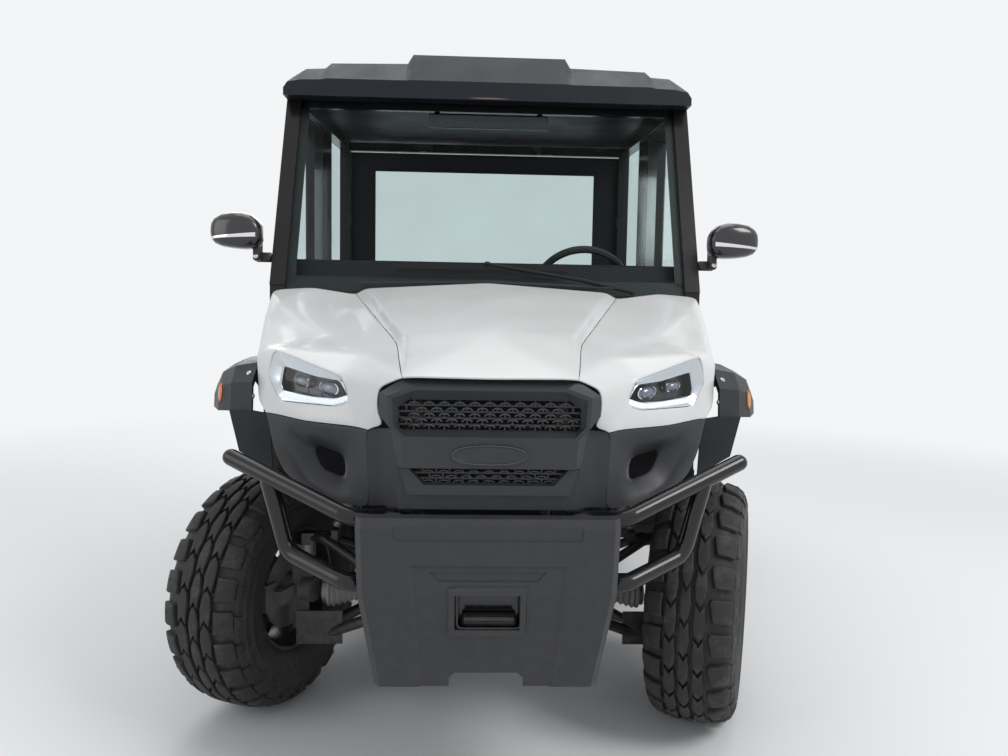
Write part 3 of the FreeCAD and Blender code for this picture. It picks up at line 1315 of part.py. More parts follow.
def add_doors():
    """A full door each side, with its window opening, sliding panes, handle and hinges."""
    for side, sign in SIDES:
        body = new_body(f"door_panel_{side}")
        low, high = span(sign, s.cab_half_width - s.door_wall, s.cab_half_width)
        outline = door_outline(s.door_front_back, s.door_rear_back, s.sill_up + s.door_gap, s.door_gap)
        window = window_outline(0)
        pad(body, sketch(body, "YZ_Plane", low, [outline, window]), high - low)
        recess = [(s.door_front_back + 50, s.sill_up + 60), (s.door_rear_back - 50, s.sill_up + 60),
                  (s.door_rear_back - 50, s.belt_up - 60), (s.door_front_back + 50, s.belt_up - 60)]
        start = low if sign > 0 else high
        pocket(body, sketch(body, "YZ_Plane", start, [recess]), s.door_wall - 8, reverse=sign > 0)
        handle_low, handle_high = span(sign, s.cab_half_width - 2, s.cab_half_width + 26)
        handle = [(s.door_rear_back - 170, s.belt_up - 66), (s.door_rear_back - 40, s.belt_up - 66),
                  (s.door_rear_back - 40, s.belt_up - 38), (s.door_rear_back - 170, s.belt_up - 38)]
        pad(body, sketch(body, "YZ_Plane", handle_low, [handle]), handle_high - handle_low)
        place(fuse(f"door_{side}", [body] + hinge_half(sign, 1)))
        glass = new_body(f"door_glass_{side}")
        middle = s.cab_half_width - s.door_wall / 2
        low, high = span(sign, middle - s.glass_wall / 2, middle + s.glass_wall / 2)
        pad(glass, sketch(glass, "YZ_Plane", low, [window_outline(s.seat_gap)]), high - low)
        place(glass)


def hinge_half(sign, direction):
    """The leaves and knuckles of a door's two hinges, on the door or on the post."""
    pieces = []
    x = s.cab_half_width + s.hinge_out
    for up in (620, 1040):
        low = up + (s.seat_gap if direction > 0 else -40)
        high = up + (40 if direction > 0 else 0)
        leaf = sorted((s.hinge_back, s.hinge_back + 36 * direction), key=float)
        pieces.append(box(span(sign, s.cab_half_width - 1, x), leaf, (low, high)))
        knuckle = doc.addObject("Part::Cylinder", "Knuckle")
        knuckle.Radius = 7
        knuckle.Height = float(high - low)
        knuckle.Placement.Base = vec(x * sign, s.hinge_back, low)
        bind(knuckle, ".Placement.Base.x", x * sign)
        bind(knuckle, ".Placement.Base.y", s.hinge_back)
        pieces.append(knuckle)
    return pieces


def window_outline(inset):
    """The window in a door, or the pane that fills it less a gap all round."""
    inset = as_size(inset)
    front = s.door_front_back + 62
    rear = s.door_rear_back - 175
    low = s.belt_up + 18
    high = rail_up(rear) - 40 - 52
    top_front = front + lean * (high - 14 - low)
    return [(front + inset, low + inset), (top_front + inset * 1.4, high - 14 - inset * 1.2),
            (rear - inset, high - inset), (rear - inset, low + inset)]


def add_mirrors():
    """Side mirrors on the windscreen's posts, and the wide mirror inside the cab."""
    shells = []
    for sign in (1, -1):
        body = new_body("mirror_shell")
        rows = (  # out from the cab's side, back and up from the screen's foot and the belt, at each end
            (27, -50, 32, 117, 199), (55, -58, 50, 103, 223),
            (155, -50, 52, 111, 217), (183, -30, 44, 131, 185))
        outlines = []
        for out, front, rear, low, high in rows:
            place_x = (s.cab_half_width + out) * sign
            front, rear = s.screen_foot_back + front, s.screen_foot_back + rear
            low, high = s.belt_up + low, s.belt_up + high
            outlines.append(sketch(body, "YZ_Plane", place_x, [[
                (front + 14, low), (rear, low + 8), (rear, high - 8), (front + 22, high), (front, high - 26),
                (front, low + 22)]]))
        loft(body, outlines)
        foot = s.screen_foot_back
        arm = box(span(sign, s.cab_half_width + s.seat_gap, s.cab_half_width + 57), (foot + 32, foot + 56),
                  (s.belt_up + 65, s.belt_up + 101))
        arm2 = box(span(sign, s.cab_half_width + 33, s.cab_half_width + 57), (foot, foot + 50),
                   (s.belt_up + 69, s.belt_up + 165))
        shells.append(fuse("mirror_side", [body, arm, arm2]))
    place(group("side_mirrors", shells))
    glass_back = s.screen_top_back - lean * 75
    high = s.screen_top_up - 43
    inside = [box((-215, 215), (glass_back + 44, glass_back + 58), (high - 50, high))]
    for low_x in (-196, 176):
        inside.append(box((low_x, low_x + 20), (glass_back + 50, glass_back + 70),
                          (high - 22, header_front_up - 38 - s.seat_gap)))
    place(fuse("interior_mirror", inside))


def add_wiper():
    """A parked wiper: its pivot on the cowl at one side, an arm and a long blade across the screen's foot."""
    def on_screen(x, up, off):
        back = s.screen_foot_back + lean * (up - s.screen_foot_up)
        return (x, back - off, as_size(up))
    pieces = [
        rod(on_screen(483, 1222, 26), on_screen(300, 1262, 30), 7),
        rod(on_screen(306, 1260, 30), on_screen(0, 1308, 26), 6),
        beam(on_screen(-309, 1297, 20), on_screen(270, 1297, 20), 14, 20, FreeCAD.Vector(0, 1, 0)),
        rod(on_screen(0, 1312, 32), on_screen(0, 1300, 20), 9),
        rod((483, cowl_back + 8, s.screen_foot_up - 36 + s.seat_gap), (483, cowl_back + 8, 1224), 6.5),
    ]
    place(fuse("wiper", pieces))


def add_dashboard():
    """The dashboard across the cab, with a hooded instrument panel and a glove box recess."""
    body = new_body("dashboard")
    front = post_rear - 4
    foot = s.screen_foot_up
    section = [(front + back, foot + up) for back, up in (
        (0, -105), (12, 30), (44, 93), (109, 97), (136, 65), (148, 8), (192, -62), (164, -125), (74, -165),
        (14, -155))]
    half = post_in - s.seat_gap
    pad(body, sketch(body, "YZ_Plane", -half, [section]), half * 2)
    recess = [(-540, foot - 115), (-180, foot - 115), (-180, foot - 15), (-540, foot - 15)]
    pocket(body, sketch(body, "XZ_Plane", -(front + 226), [recess]), as_size(90), reverse=True)
    place(body)


def add_floor():
    """The cab's floor, its firewall and the box that carries the seats over the battery."""
    half = post_in - s.seat_gap
    gap = s.seat_gap
    pieces = [box((-half, half), (post_rear - 6, cab_rear - 46), (sill_low, s.floor_up + 4))]
    pieces.append(box((-half, half), (post_rear - 6, post_rear - 1), (sill_low, 1056)))
    box_half = s.seat_out + s.seat_width / 2 + 30
    shell = box((-box_half, box_half), (seat_front + 10, seat_rear + 40), (s.floor_up, s.seat_up - 120 - gap))
    hollow = box((6 - box_half, box_half - 6), (seat_front + 16, seat_rear + 34),
                 (s.floor_up - 1, s.seat_up - 126 - gap))
    pieces.append(cut("seat_box", shell, hollow))
    place(fuse("floor_pan", pieces))


def add_seats():
    """Two seats: a cushion and a leaning back each."""
    cushions = []
    backs = []
    for sign in (1, -1):
        middle = s.seat_out * sign
        half = s.seat_width / 2
        cushion = new_body("cushion")
        pad(cushion, sketch(cushion, "YZ_Plane", middle - half, [[
            (seat_front, s.seat_up - 120), (seat_rear, s.seat_up - 120), (seat_rear, s.seat_up - 20),
            (seat_front + 120, s.seat_up - 14), (seat_front + 20, s.seat_up),
            (seat_front - 14, s.seat_up - 30)]]), s.seat_width)
        cushions.append(cushion)
        back = new_body("backrest")
        foot = seat_rear + s.seat_gap
        pad(back, sketch(back, "YZ_Plane", middle - half + 10, [[
            (foot, s.seat_up - 120), (foot + 80, s.seat_up - 120), (foot + 150, s.seat_up + 560),
            (foot + 90, s.seat_up + 580), (foot + 40, s.seat_up + 540), (foot - 4, s.seat_up + 60),
            (foot, s.seat_up)]]), s.seat_width - 20)
        backs.append(back)
    place(group("seat_cushions", cushions))
    place(group("seat_backs", backs))


def add_bed():
    """The tilting cargo bed with ribbed floor and side walls, its drop-down tailgate and tail lamps."""
    out = bed_half_width
    wall = s.bed_wall
    rear = s.rear_overhang - s.tailgate_wall - s.seat_gap
    front = -s.bed_front
    floor = s.bed_floor_up
    rim = floor + s.bed_depth + wall
    body = new_body("tray")
    pad(body, sketch(body, "XY_Plane", floor, [mirrored_loop([(out, front), (out, rear)])]), rim - floor)
    inner = mirrored_loop([(out - wall, front + wall), (out - wall, rear + 30)])
    pocket(body, sketch(body, "XY_Plane", rim + 5, [inner]), rim + 5 - floor - wall)
    ribs = []
    for k in range(5):
        x = as_size(-520 + 260 * k)
        ribs.append([(x - 30, front + 60), (x + 30, front + 60), (x + 30, rear - 40), (x - 30, rear - 40)])
    pad(body, sketch(body, "XY_Plane", floor + wall - 1, ribs), as_size(9))
    hinge_back = s.rear_overhang - s.tailgate_wall
    hinge_up = floor - s.pin_radius - 0.5
    hinge = {"bed": [], "gate": []}
    for sign in (1, -1):
        for side, low_x, leaf in (("bed", 500, (hinge_back - s.pin_radius, rear)),
                                  ("gate", 530 + s.seat_gap, (hinge_back, hinge_back + 12))):
            across = span(sign, low_x, low_x + 30)
            hinge[side].append(bar_across(*across, s.pin_radius, hinge_back, hinge_up))
            hinge[side].append(box(across, leaf, (hinge_up, floor + 5)))
    place(fuse("cargo_bed", [body] + hinge["bed"]), axle=rear_axle_y)
    pivot = s.bed_pivot_back
    ears = []
    for sign in (1, -1):
        ears.append(box(span(sign, rail_in - 2, rail_side + 2), (front + 60, rear - 40),
                        (floor - 46, floor - s.seat_gap)))
        for low, high in ((rail_in - 2, s.rail_out - 11), (s.rail_out + 11, rail_side + 2)):
            ears.append(box(span(sign, low, high), (pivot - 26, pivot + 26),
                            (s.bed_pivot_up - 24, floor - 40)))
        ears.append(bar_across(*span(sign, rail_in - 2, rail_side + 2), s.pin_radius, pivot, s.bed_pivot_up))
    for back in (front + 100, as_size(0), rear - 120):
        ears.append(box((-rail_side, rail_side), (back - 20, back + 20), (floor - 40, floor - s.seat_gap)))
    place(fuse("bed_subframe", ears), axle=rear_axle_y)
    gate = new_body("gate")
    low = floor + 4
    pad(gate, sketch(gate, "XZ_Plane", -s.rear_overhang, [[
        (-out, low), (out, low), (out, rim), (-out, rim)]]), s.tailgate_wall)
    panel = [(-out + 60, low + 50), (out - 60, low + 50), (out - 60, rim - 50), (-out + 60, rim - 50)]
    pocket(gate, sketch(gate, "XZ_Plane", -s.rear_overhang, [panel]), as_size(6), reverse=True)
    place(fuse("tailgate", [gate] + hinge["gate"]), axle=rear_axle_y)
    lamps = []
    for sign in (1, -1):
        lamps.append(box(span(sign, tail_beam_half - 80, tail_beam_half - 10),
                         (frame_rear + 30 + s.seat_gap, frame_rear + 56),
                         (rail_low + 70, rail_low + 130)))
    place(group("tail_lamps", lamps), axle=rear_axle_y)


def build():
    add_tyres_and_rims()
    add_knuckles()
    add_frame()
    add_drive()
    add_arms()
    add_dampers()
    add_steering()
    add_nose_skin()
    add_grille()
    add_bumper()
    add_flares()
    add_cab()
    add_screen_and_glass()
    add_roof()
    add_cab_panels()
    add_doors()
    add_mirrors()
    add_wiper()
    add_dashboard()
    add_floor()
    add_seats()
    add_bed()


build()
doc.recompute()
failed = [o.Label for o in doc.Objects if "Invalid" in o.State or "Error" in o.State]
assert not failed, failed
os.makedirs("parts", exist_ok=True)
for node in nodes:
    shape = node.Shape
    assert not shape.isNull() and shape.isValid() and shape.Solids, node.Label
    shape.exportStep(f"parts/{node.Label}.step")
print(len(nodes), "nodes")
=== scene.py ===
import json
import math

import bmesh
import bpy
from mathutils import Matrix, Vector
from mathutils.bvhtree import BVHTree

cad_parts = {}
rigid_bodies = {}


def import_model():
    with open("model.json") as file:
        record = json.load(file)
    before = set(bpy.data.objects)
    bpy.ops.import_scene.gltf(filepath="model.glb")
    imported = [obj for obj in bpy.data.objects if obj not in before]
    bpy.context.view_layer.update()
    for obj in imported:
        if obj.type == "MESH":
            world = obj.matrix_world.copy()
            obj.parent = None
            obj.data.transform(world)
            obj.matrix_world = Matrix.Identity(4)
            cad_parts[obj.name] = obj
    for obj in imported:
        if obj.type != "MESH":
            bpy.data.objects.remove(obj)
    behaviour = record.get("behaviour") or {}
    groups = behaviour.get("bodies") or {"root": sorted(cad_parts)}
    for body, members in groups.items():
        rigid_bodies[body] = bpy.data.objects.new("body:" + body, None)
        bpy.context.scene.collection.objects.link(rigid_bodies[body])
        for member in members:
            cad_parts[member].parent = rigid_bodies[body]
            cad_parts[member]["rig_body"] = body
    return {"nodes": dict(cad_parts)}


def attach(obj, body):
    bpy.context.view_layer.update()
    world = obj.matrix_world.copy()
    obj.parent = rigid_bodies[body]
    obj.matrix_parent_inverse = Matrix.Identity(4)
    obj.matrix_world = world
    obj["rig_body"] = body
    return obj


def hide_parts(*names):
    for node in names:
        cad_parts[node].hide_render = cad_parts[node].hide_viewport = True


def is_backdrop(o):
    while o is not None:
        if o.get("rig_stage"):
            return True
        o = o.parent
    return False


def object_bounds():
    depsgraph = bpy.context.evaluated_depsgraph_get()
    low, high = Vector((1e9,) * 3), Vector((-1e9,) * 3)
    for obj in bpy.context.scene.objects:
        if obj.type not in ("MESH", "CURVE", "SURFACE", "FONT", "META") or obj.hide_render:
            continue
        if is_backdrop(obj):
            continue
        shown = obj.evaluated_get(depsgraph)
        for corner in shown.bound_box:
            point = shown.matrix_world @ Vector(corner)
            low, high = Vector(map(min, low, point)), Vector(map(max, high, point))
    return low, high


# Looks of the utility vehicle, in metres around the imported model.
# The front faces -Y, +X is the vehicle's left side.
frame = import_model()
cad_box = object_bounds()
NODES = frame["nodes"]
SIDES = (("left", 1), ("right", -1))
FRONT_AXLE = -1.06
REAR_AXLE = 1.02
AXLE_UP = 0.336


def round_trip(count):
    """Cosine and sine at even steps round a circle."""
    return [(math.cos(2 * math.pi * k / count), math.sin(2 * math.pi * k / count)) for k in range(count)]


# Materials
DUST = (0.30, 0.27, 0.22, 1.0)
TREAD_DIRT = (0.19, 0.175, 0.155, 1.0)
BELT_BLACK = (0.020, 0.018, 0.017, 1.0)
RELIEF = 0.001  # depth that a bump of full strength stands for


class Shader:
    """Adds nodes to a shader tree, their inputs given by name or number as values, nodes or outputs."""

    def __init__(self, tree):
        self.tree = tree

    def add(self, kind, inputs=(), **settings):
        item = self.tree.nodes.new("ShaderNode" + kind)
        for key, value in settings.items():
            setattr(item, key, value)
        for key, value in dict(inputs).items():
            if isinstance(value, bpy.types.Node):
                value = value.outputs[0]
            if isinstance(value, bpy.types.NodeSocket):
                self.tree.links.new(value, item.inputs[key])
            else:
                item.inputs[key].default_value = value
        return item

    def place(self):
        return self.add("TexCoord").outputs["Object"]

    def noise(self, place, scale, detail, **inputs):
        return self.add("TexNoise", {"Vector": place, "Scale": scale, "Detail": detail, **inputs})

    def span(self, value, low, high, first=0.0, last=1.0, **settings):
        """Turns values from low to high into values from first to last."""
        return self.add("MapRange", {0: value, 1: low, 2: high, 3: first, 4: last}, **settings)

    def blend(self, first, second, share):
        return self.add("Mix", {6: first, 7: second, 0: share}, data_type="RGBA").outputs[2]

    def combine(self, operation, first, second, **settings):
        return self.add("Math", {0: first, 1: second}, operation=operation, **settings)

    def bump(self, height, strength):
        return self.add("Bump", {"Height": height, "Strength": strength, "Distance": RELIEF})


def shade(color, factor):
    return tuple(min(1.0, c * factor) for c in color[:3]) + (1.0,)


def new_material(name):
    material = bpy.data.materials.new(name)
    material.use_nodes = True
    material.node_tree.nodes.clear()
    return material, Shader(material.node_tree)


def surface(name, color, rough, metal=0.0, coat=0.0, vary=0.12, patch=5.0, grain=0.0, grain_scale=700.0,
            dust=0.0, dust_top=0.9, rough_vary=0.06, wear=0.0, specular=0.5):
    """A finish with patches of tone, fine grain, dust low down and wear along the edges."""
    material, shader = new_material(name)
    place = shader.place()
    cloud = shader.noise(place, patch, 5.0, Roughness=0.6)
    tone = shader.blend(shade(color, 1 - vary), shade(color, 1 + vary), cloud)
    if wear:
        edge = shader.span(shader.add("NewGeometry").outputs["Pointiness"], 0.52, 0.60, 0.0, wear)
        tone = shader.blend(tone, shade(color, 3.0), edge)
    if dust:
        height = shader.add("SeparateXYZ", {0: place}).outputs[2]
        low = shader.span(height, dust_top, 0.1, 0.0, dust)
        speck = shader.noise(place, 38.0, 7.0, Roughness=0.7)
        tone = shader.blend(tone, DUST, shader.combine("MULTIPLY", low, shader.span(speck, 0.38, 0.72)))
    matt = shader.span(cloud, 0.3, 0.7, max(0.02, rough - rough_vary), min(1.0, rough + rough_vary))
    inputs = {"Base Color": tone, "Roughness": matt, "Metallic": metal, "Coat Weight": coat,
              "Coat Roughness": 0.08, "Specular IOR Level": specular}
    if grain:
        inputs["Normal"] = shader.bump(shader.noise(place, grain_scale, 3.0), grain)
    shader.add("OutputMaterial", {0: shader.add("BsdfPrincipled", inputs)})
    return material


def principled(material):
    """The material's own surface node."""
    return next(n for n in material.node_tree.nodes if n.type == "BSDF_PRINCIPLED")


def painted_over(material, color, share):
    """Lays a second colour over a finish, by the share that a node gives."""
    base = principled(material).inputs["Base Color"]
    over = Shader(material.node_tree).blend(base.links[0].from_socket, color, share)
    material.node_tree.links.new(over, base)


def glass(name, tint, gloss, smear=0.04):
    """Thin glazing: a tinted clear sheet with reflections that grow towards its edges."""
    material, shader = new_material(name)
    cloud = shader.noise(shader.place(), 3.0, 4.0)
    tone = shader.blend(shade(tint, 0.96), shade(tint, 1.03), cloud)
    clear = shader.add("BsdfTransparent", {"Color": tone})
    shine = shader.add("BsdfGlossy", {"Roughness": shader.span(cloud, 0.3, 0.8, 0.0, smear)})
    inside = shader.add("NewGeometry").outputs["Backfacing"]
    outside = shader.combine("SUBTRACT", gloss, inside, use_clamp=True)
    share = shader.combine("MULTIPLY", shader.add("Fresnel", {"IOR": 1.45}), outside)
    shader.add("OutputMaterial", {0: shader.add("MixShader", {0: share, 1: clear, 2: shine})})
    return material


def tyre_rubber():
    """Dusty rubber: brown-grey dirt in patches and worn grey along the edges of the blocks."""
    material = surface("tyre_rubber", (0.026, 0.026, 0.027), 0.62, vary=0.30, patch=14.0, grain=0.35,
                       grain_scale=260.0, wear=0.30, specular=0.3)
    shader = Shader(material.node_tree)
    speck = shader.noise(shader.place(), 22.0, 8.0, Roughness=0.72)
    painted_over(material, TREAD_DIRT, shader.span(speck, 0.50, 0.80, 0.02, 0.38))
    return material


def cloth(name, color, threads=150.0):
    """Woven seat cloth: two crossing waves make the weave."""
    material = surface(name, color, 0.82, vary=0.18, patch=11.0)
    shader = Shader(material.node_tree)
    place = shader.place()
    waves = [shader.add("TexWave", {"Vector": place, "Scale": threads}, bands_direction=way).outputs[1]
             for way in "XZ"]
    weave = shader.bump(shader.combine("MAXIMUM", *waves), 0.35)
    body = principled(material)
    material.node_tree.links.new(weave.outputs[0], body.inputs["Normal"])
    body.inputs["Sheen Weight"].default_value = 0.2
    return material


def led_glow():
    """The daytime strip: milky white plastic, faintly lit."""
    material = surface("led_strip", (0.88, 0.90, 0.93), 0.18, coat=0.4, vary=0.03, patch=60.0, grain=0.05)
    body = principled(material)
    body.inputs["Emission Color"].default_value = (0.86, 0.93, 1.0, 1.0)
    body.inputs["Emission Strength"].default_value = 0.35
    return material


MAT = {
    "white": surface("white_gloss", (0.7, 0.7, 0.69), 0.34, coat=0.22, vary=0.015, grain=0.02,
                     grain_scale=900.0, dust=0.1, dust_top=1.0),
    "grey": surface("grey_moulding", (0.036, 0.037, 0.04), 0.4, vary=0.14, patch=7.0, grain=0.3,
                    grain_scale=1100.0, dust=0.08, wear=0.08, rough_vary=0.09, specular=0.35),
    "flare": surface("flare_moulding", (0.018, 0.02, 0.024), 0.4, vary=0.15, patch=9.0, grain=0.3,
                     grain_scale=1000.0, dust=0.1, rough_vary=0.08, specular=0.3),
    "mesh": surface("mesh_moulding", (0.02, 0.02, 0.022), 0.42, vary=0.12, patch=30.0, grain=0.15),
    "dash_bar": surface("mesh_bars", (0.06, 0.062, 0.066), 0.32, vary=0.15, patch=30.0, grain=0.1),
    "gloss_black": surface("gloss_black_tube", (0.005, 0.0055, 0.007), 0.2, coat=0.25, vary=0.2,
                           patch=16.0, grain=0.04, grain_scale=240.0, dust=0.05, specular=0.35),
    "steel": surface("black_steel", (0.016, 0.016, 0.018), 0.38, vary=0.25, patch=12.0, grain=0.15,
                     grain_scale=420.0, dust=0.22, dust_top=0.7),
    "pillar": surface("pillar_paint", (0.01, 0.009, 0.009), 0.24, coat=0.15, vary=0.15, grain=0.06,
                      grain_scale=500.0, specular=0.25),
    "roof": surface("roof_moulding", (0.01, 0.012, 0.017), 0.42, vary=0.18, patch=8.0, grain=0.45,
                    grain_scale=520.0, rough_vary=0.08, specular=0.25),
    "trim": surface("dark_trim", (0.012, 0.012, 0.014), 0.55, vary=0.15, patch=10.0, grain=0.35,
                    grain_scale=850.0, specular=0.25),
    "grip": surface("grip_leather", (0.018, 0.018, 0.019), 0.5, vary=0.2, patch=30.0, grain=0.6,
                    grain_scale=420.0),
    "panel": surface("dark_panel", (0.011, 0.012, 0.015), 0.6, vary=0.2, patch=8.0, grain=0.25, dust=0.1,
                     specular=0.2),
    "casting": surface("grey_casting", (0.2, 0.2, 0.2), 0.48, metal=0.6, vary=0.25, patch=24.0, grain=0.5,
                       grain_scale=300.0, dust=0.2, dust_top=0.6),
    "rim": surface("rim_paint", (0.02, 0.02, 0.022), 0.36, vary=0.2, patch=14.0, grain=0.1, dust=0.2,
                   dust_top=0.7),
    "boot": surface("boot_rubber", (0.26, 0.26, 0.25), 0.45, vary=0.2, patch=40.0, grain=0.2, dust=0.2,
                    dust_top=0.6),
    "rubber": surface("seal_rubber", (0.012, 0.012, 0.012), 0.5, vary=0.2, patch=40.0, grain=0.15),
    "chrome": surface("chrome_trim", (0.78, 0.78, 0.8), 0.08, metal=1.0, vary=0.04, patch=30.0,
                      grain=0.02),
    "bezel": surface("lamp_bezel", (0.62, 0.64, 0.66), 0.22, metal=0.85, vary=0.06, patch=30.0,
                     grain=0.03),
    "lens": surface("projector_lens", (0.1, 0.13, 0.17), 0.04, coat=1.0, vary=0.3, patch=60.0,
                    specular=1.0),
    "housing": surface("lamp_housing", (0.012, 0.012, 0.014), 0.2, coat=0.3, vary=0.2, patch=40.0,
                       grain=0.05),
    "bolt": surface("zinc_bolt", (0.6, 0.6, 0.58), 0.3, metal=0.95, vary=0.1, patch=80.0, grain=0.1),
    "seal": surface("tan_seal", (0.16, 0.12, 0.085), 0.5, vary=0.15, patch=20.0, grain=0.1),
    "amber": surface("amber_reflector", (0.75, 0.2, 0.01), 0.15, coat=0.6, vary=0.2, patch=90.0,
                     grain=0.3, grain_scale=400.0),
    "mirror": surface("mirror_shell", (0.012, 0.012, 0.014), 0.18, coat=0.5, vary=0.1, grain=0.03),
    "red": surface("red_lens", (0.35, 0.01, 0.01), 0.2, coat=0.4, vary=0.15, patch=60.0, grain=0.2,
                   grain_scale=300.0),
    "led": led_glow(),
    "cloth": cloth("seat_cloth", (0.03, 0.03, 0.032)),
    "tyre": tyre_rubber(),
    "glass": glass("tinted_glass", (0.86, 0.9, 0.9), 0.22),
    "clear": glass("clear_lens", (0.95, 0.97, 1.0), 0.9, 0.02),
    "spring": surface("spring_paint", (0.02, 0.02, 0.022), 0.25, coat=0.3, vary=0.2, patch=20.0,
                      grain=0.05, dust=0.15, dust_top=0.8),
}
FINISHED_NODES = {
    "panel": "battery_pack cab_panels floor_pan",
    "steel": "bed_subframe frame steering_gear suspension_arms tie_rods",
    "grey": "bumper_cover grille_surround side_fascias",
    "pillar": "cab_frame",
    "glass": "cab_glass door_glass_left door_glass_right windscreen",
    "flare": "cargo_bed front_flares rear_flares tailgate",
    "spring": "dampers",
    "trim": "dashboard wiper",
    "white": "door_left door_right front_wings hood_panel",
    "casting": "drive_units knuckle_left knuckle_right",
    "mesh": "grille_mesh",
    "gloss_black": "guard_tubes",
    "clear": "headlamps",
    "mirror": "interior_mirror side_mirrors",
    "roof": "roof_panel",
    "cloth": "seat_backs seat_cushions",
    "grip": "steering_wheel",
    "red": "tail_lamps",
}
NODE_MATERIAL = {node: key for key, nodes in FINISHED_NODES.items() for node in nodes.split()}
for name, item in NODES.items():
    key = "tyre" if name.startswith("tyre") else "rim" if name.startswith("rim") else NODE_MATERIAL[name]
    item.data.materials.clear()
    item.data.materials.append(MAT[key])


# Mesh helpers
def piece(name, mesh, body, material, replaced=(), place=None):
    """Puts a mesh into the scene as a piece that moves with a body."""
    item = bpy.data.objects.new(name, mesh)
    bpy.context.scene.collection.objects.link(item)
    if not mesh.materials:
        mesh.materials.append(MAT[material])
    if place is not None:
        item.matrix_world = place
    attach(item, body)
    if replaced:
        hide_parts(*replaced)
    return item


def body_of(node):
    return NODES[node]["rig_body"]


def smooth(mesh, angle=35.0):
    """Shades a mesh smoothly, apart from folds sharper than the angle."""
    mesh.shade_smooth()
    mesh.set_sharp_from_angle(angle=math.radians(angle))


class Kit:
    """Points and faces of several shapes, gathered for one piece."""

    def __init__(self):
        self.points = []
        self.faces = []

    def add(self, points, faces):
        base = len(self.points)
        self.points += [Vector(p) for p in points]
        self.faces += [[base + k for k in face] for face in faces]

    def loft(self, loops, first=True, last=True):
        """A skin over loops with as many points each, with the end loops filled or open."""
        count = len(loops[0])
        faces = []
        for row in range(len(loops) - 1):
            for k in range(count):
                j = (k + 1) % count
                near, far = row * count, (row + 1) * count
                faces.append([near + k, near + j, far + j, far + k])
        if first:
            faces.append(list(reversed(range(count))))
        if last:
            faces.append([(len(loops) - 1) * count + k for k in range(count)])
        self.add([p for loop in loops for p in loop], faces)

    def tube(self, path, radius, sides):
        """A round bar along a path."""
        path = [Vector(p) for p in path]
        loops = []
        side = None
        for k, point in enumerate(path):
            along = (path[min(k + 1, len(path) - 1)] - path[max(k - 1, 0)]).normalized()
            if side is None:
                side = along.orthogonal().normalized()
            side = (side - along * side.dot(along)).normalized()
            other = along.cross(side)
            loops.append([point + (side * c + other * s) * radius for c, s in round_trip(sides)])
        self.loft(loops)

    def turned(self, profile, centre, axis, steps=32, capped=False):
        """A turned shape: rows of (distance along the axis, radius)."""
        centre = Vector(centre)
        axis = Vector(axis).normalized()
        side = axis.orthogonal().normalized()
        other = axis.cross(side)
        loops = [[centre + axis * along + (side * c + other * s) * r for c, s in round_trip(steps)]
                 for along, r in profile]
        self.loft(loops, capped, capped)

    def block(self, centre, right, up, out, chamfer=0.1):
        """A chamfered block: half sizes are the lengths of right, up and out."""
        centre, right, up, out = (Vector(v) for v in (centre, right, up, out))
        small = min(right.length, up.length, out.length) * chamfer * 2
        loops = []
        for depth, inset in ((-1, 1), (-1, 0), (1, 0), (1, 1)):
            level = depth * (out.length - (0 if inset else small)) / out.length
            rx = 1 - inset * small / right.length
            ry = 1 - inset * small / up.length
            sx = rx - small / right.length
            sy = ry - small / up.length
            loops.append([centre + out * level + right * a + up * b for a, b in (
                (sx, -ry), (rx, -sy), (rx, sy), (sx, ry), (-sx, ry), (-rx, sy), (-rx, -sy), (-sx, -ry))])
        self.loft(loops)

    def slab(self, centre, half_x, half_y, half_z, chamfer):
        """A chamfered block square to the axes, its edges cut along Y."""
        self.block(centre, (half_x, 0, 0), (0, 0, half_z), (0, half_y, 0), chamfer)

    def mesh(self, name, angle=35.0):
        mesh = bpy.data.meshes.new(name)
        mesh.from_pydata([tuple(p) for p in self.points], [], self.faces)
        mesh.validate()
        bm = bmesh.new()
        bm.from_mesh(mesh)
        bmesh.ops.recalc_face_normals(bm, faces=bm.faces)
        bm.to_mesh(mesh)
        bm.free()
        smooth(mesh, angle)
        return mesh

    def make(self, name, body, material, replaced=(), place=None, angle=35.0):
        return piece(name, self.mesh(name, angle), body, material, replaced, place)


RIM_FROM = 50.0  # folds sharper than this, in degrees, are rims
FOLD_FROM = 4.0


def softened(node, fold, rim, segments=3, material=None):
    """A copy of a CAD piece whose folds and rims are rounded as a moulding's are."""
    bm = bmesh.new()
    bm.from_mesh(NODES[node].data)
    bmesh.ops.remove_doubles(bm, verts=bm.verts, dist=1e-5)
    bmesh.ops.dissolve_limit(bm, angle_limit=math.radians(0.8), verts=bm.verts, edges=bm.edges)
    weight = bm.edges.layers.float.new("bevel_weight_edge")
    for edge in bm.edges:
        if len(edge.link_faces) != 2:
            continue
        angle = math.degrees(edge.calc_face_angle(0.0))
        edge[weight] = rim / fold if angle > RIM_FROM else 1.0 if angle > FOLD_FROM else 0.0
    mesh = bpy.data.meshes.new(node + "_soft")
    bm.to_mesh(mesh)
    bm.free()
    item = piece(node + "_soft", mesh, body_of(node), material or NODE_MATERIAL[node], (node,))
    bevel = item.modifiers.new("round", "BEVEL")
    bevel.limit_method = "WEIGHT"
    bevel.width = fold
    bevel.segments = segments
    bevel.use_clamp_overlap = True
    smooth(mesh, 180.0)
    item.modifiers.new("normals", "WEIGHTED_NORMAL").keep_sharp = True


# Camera, light and floor
def seen_plainly(shader):
    """One for rays that come from the camera, a reflection or a pass through glass."""
    path = shader.add("LightPath")
    pair = shader.combine("MAXIMUM", path.outputs["Is Camera Ray"], path.outputs["Is Glossy Ray"])
    return shader.combine("MAXIMUM", pair, path.outputs["Is Transmission Ray"])


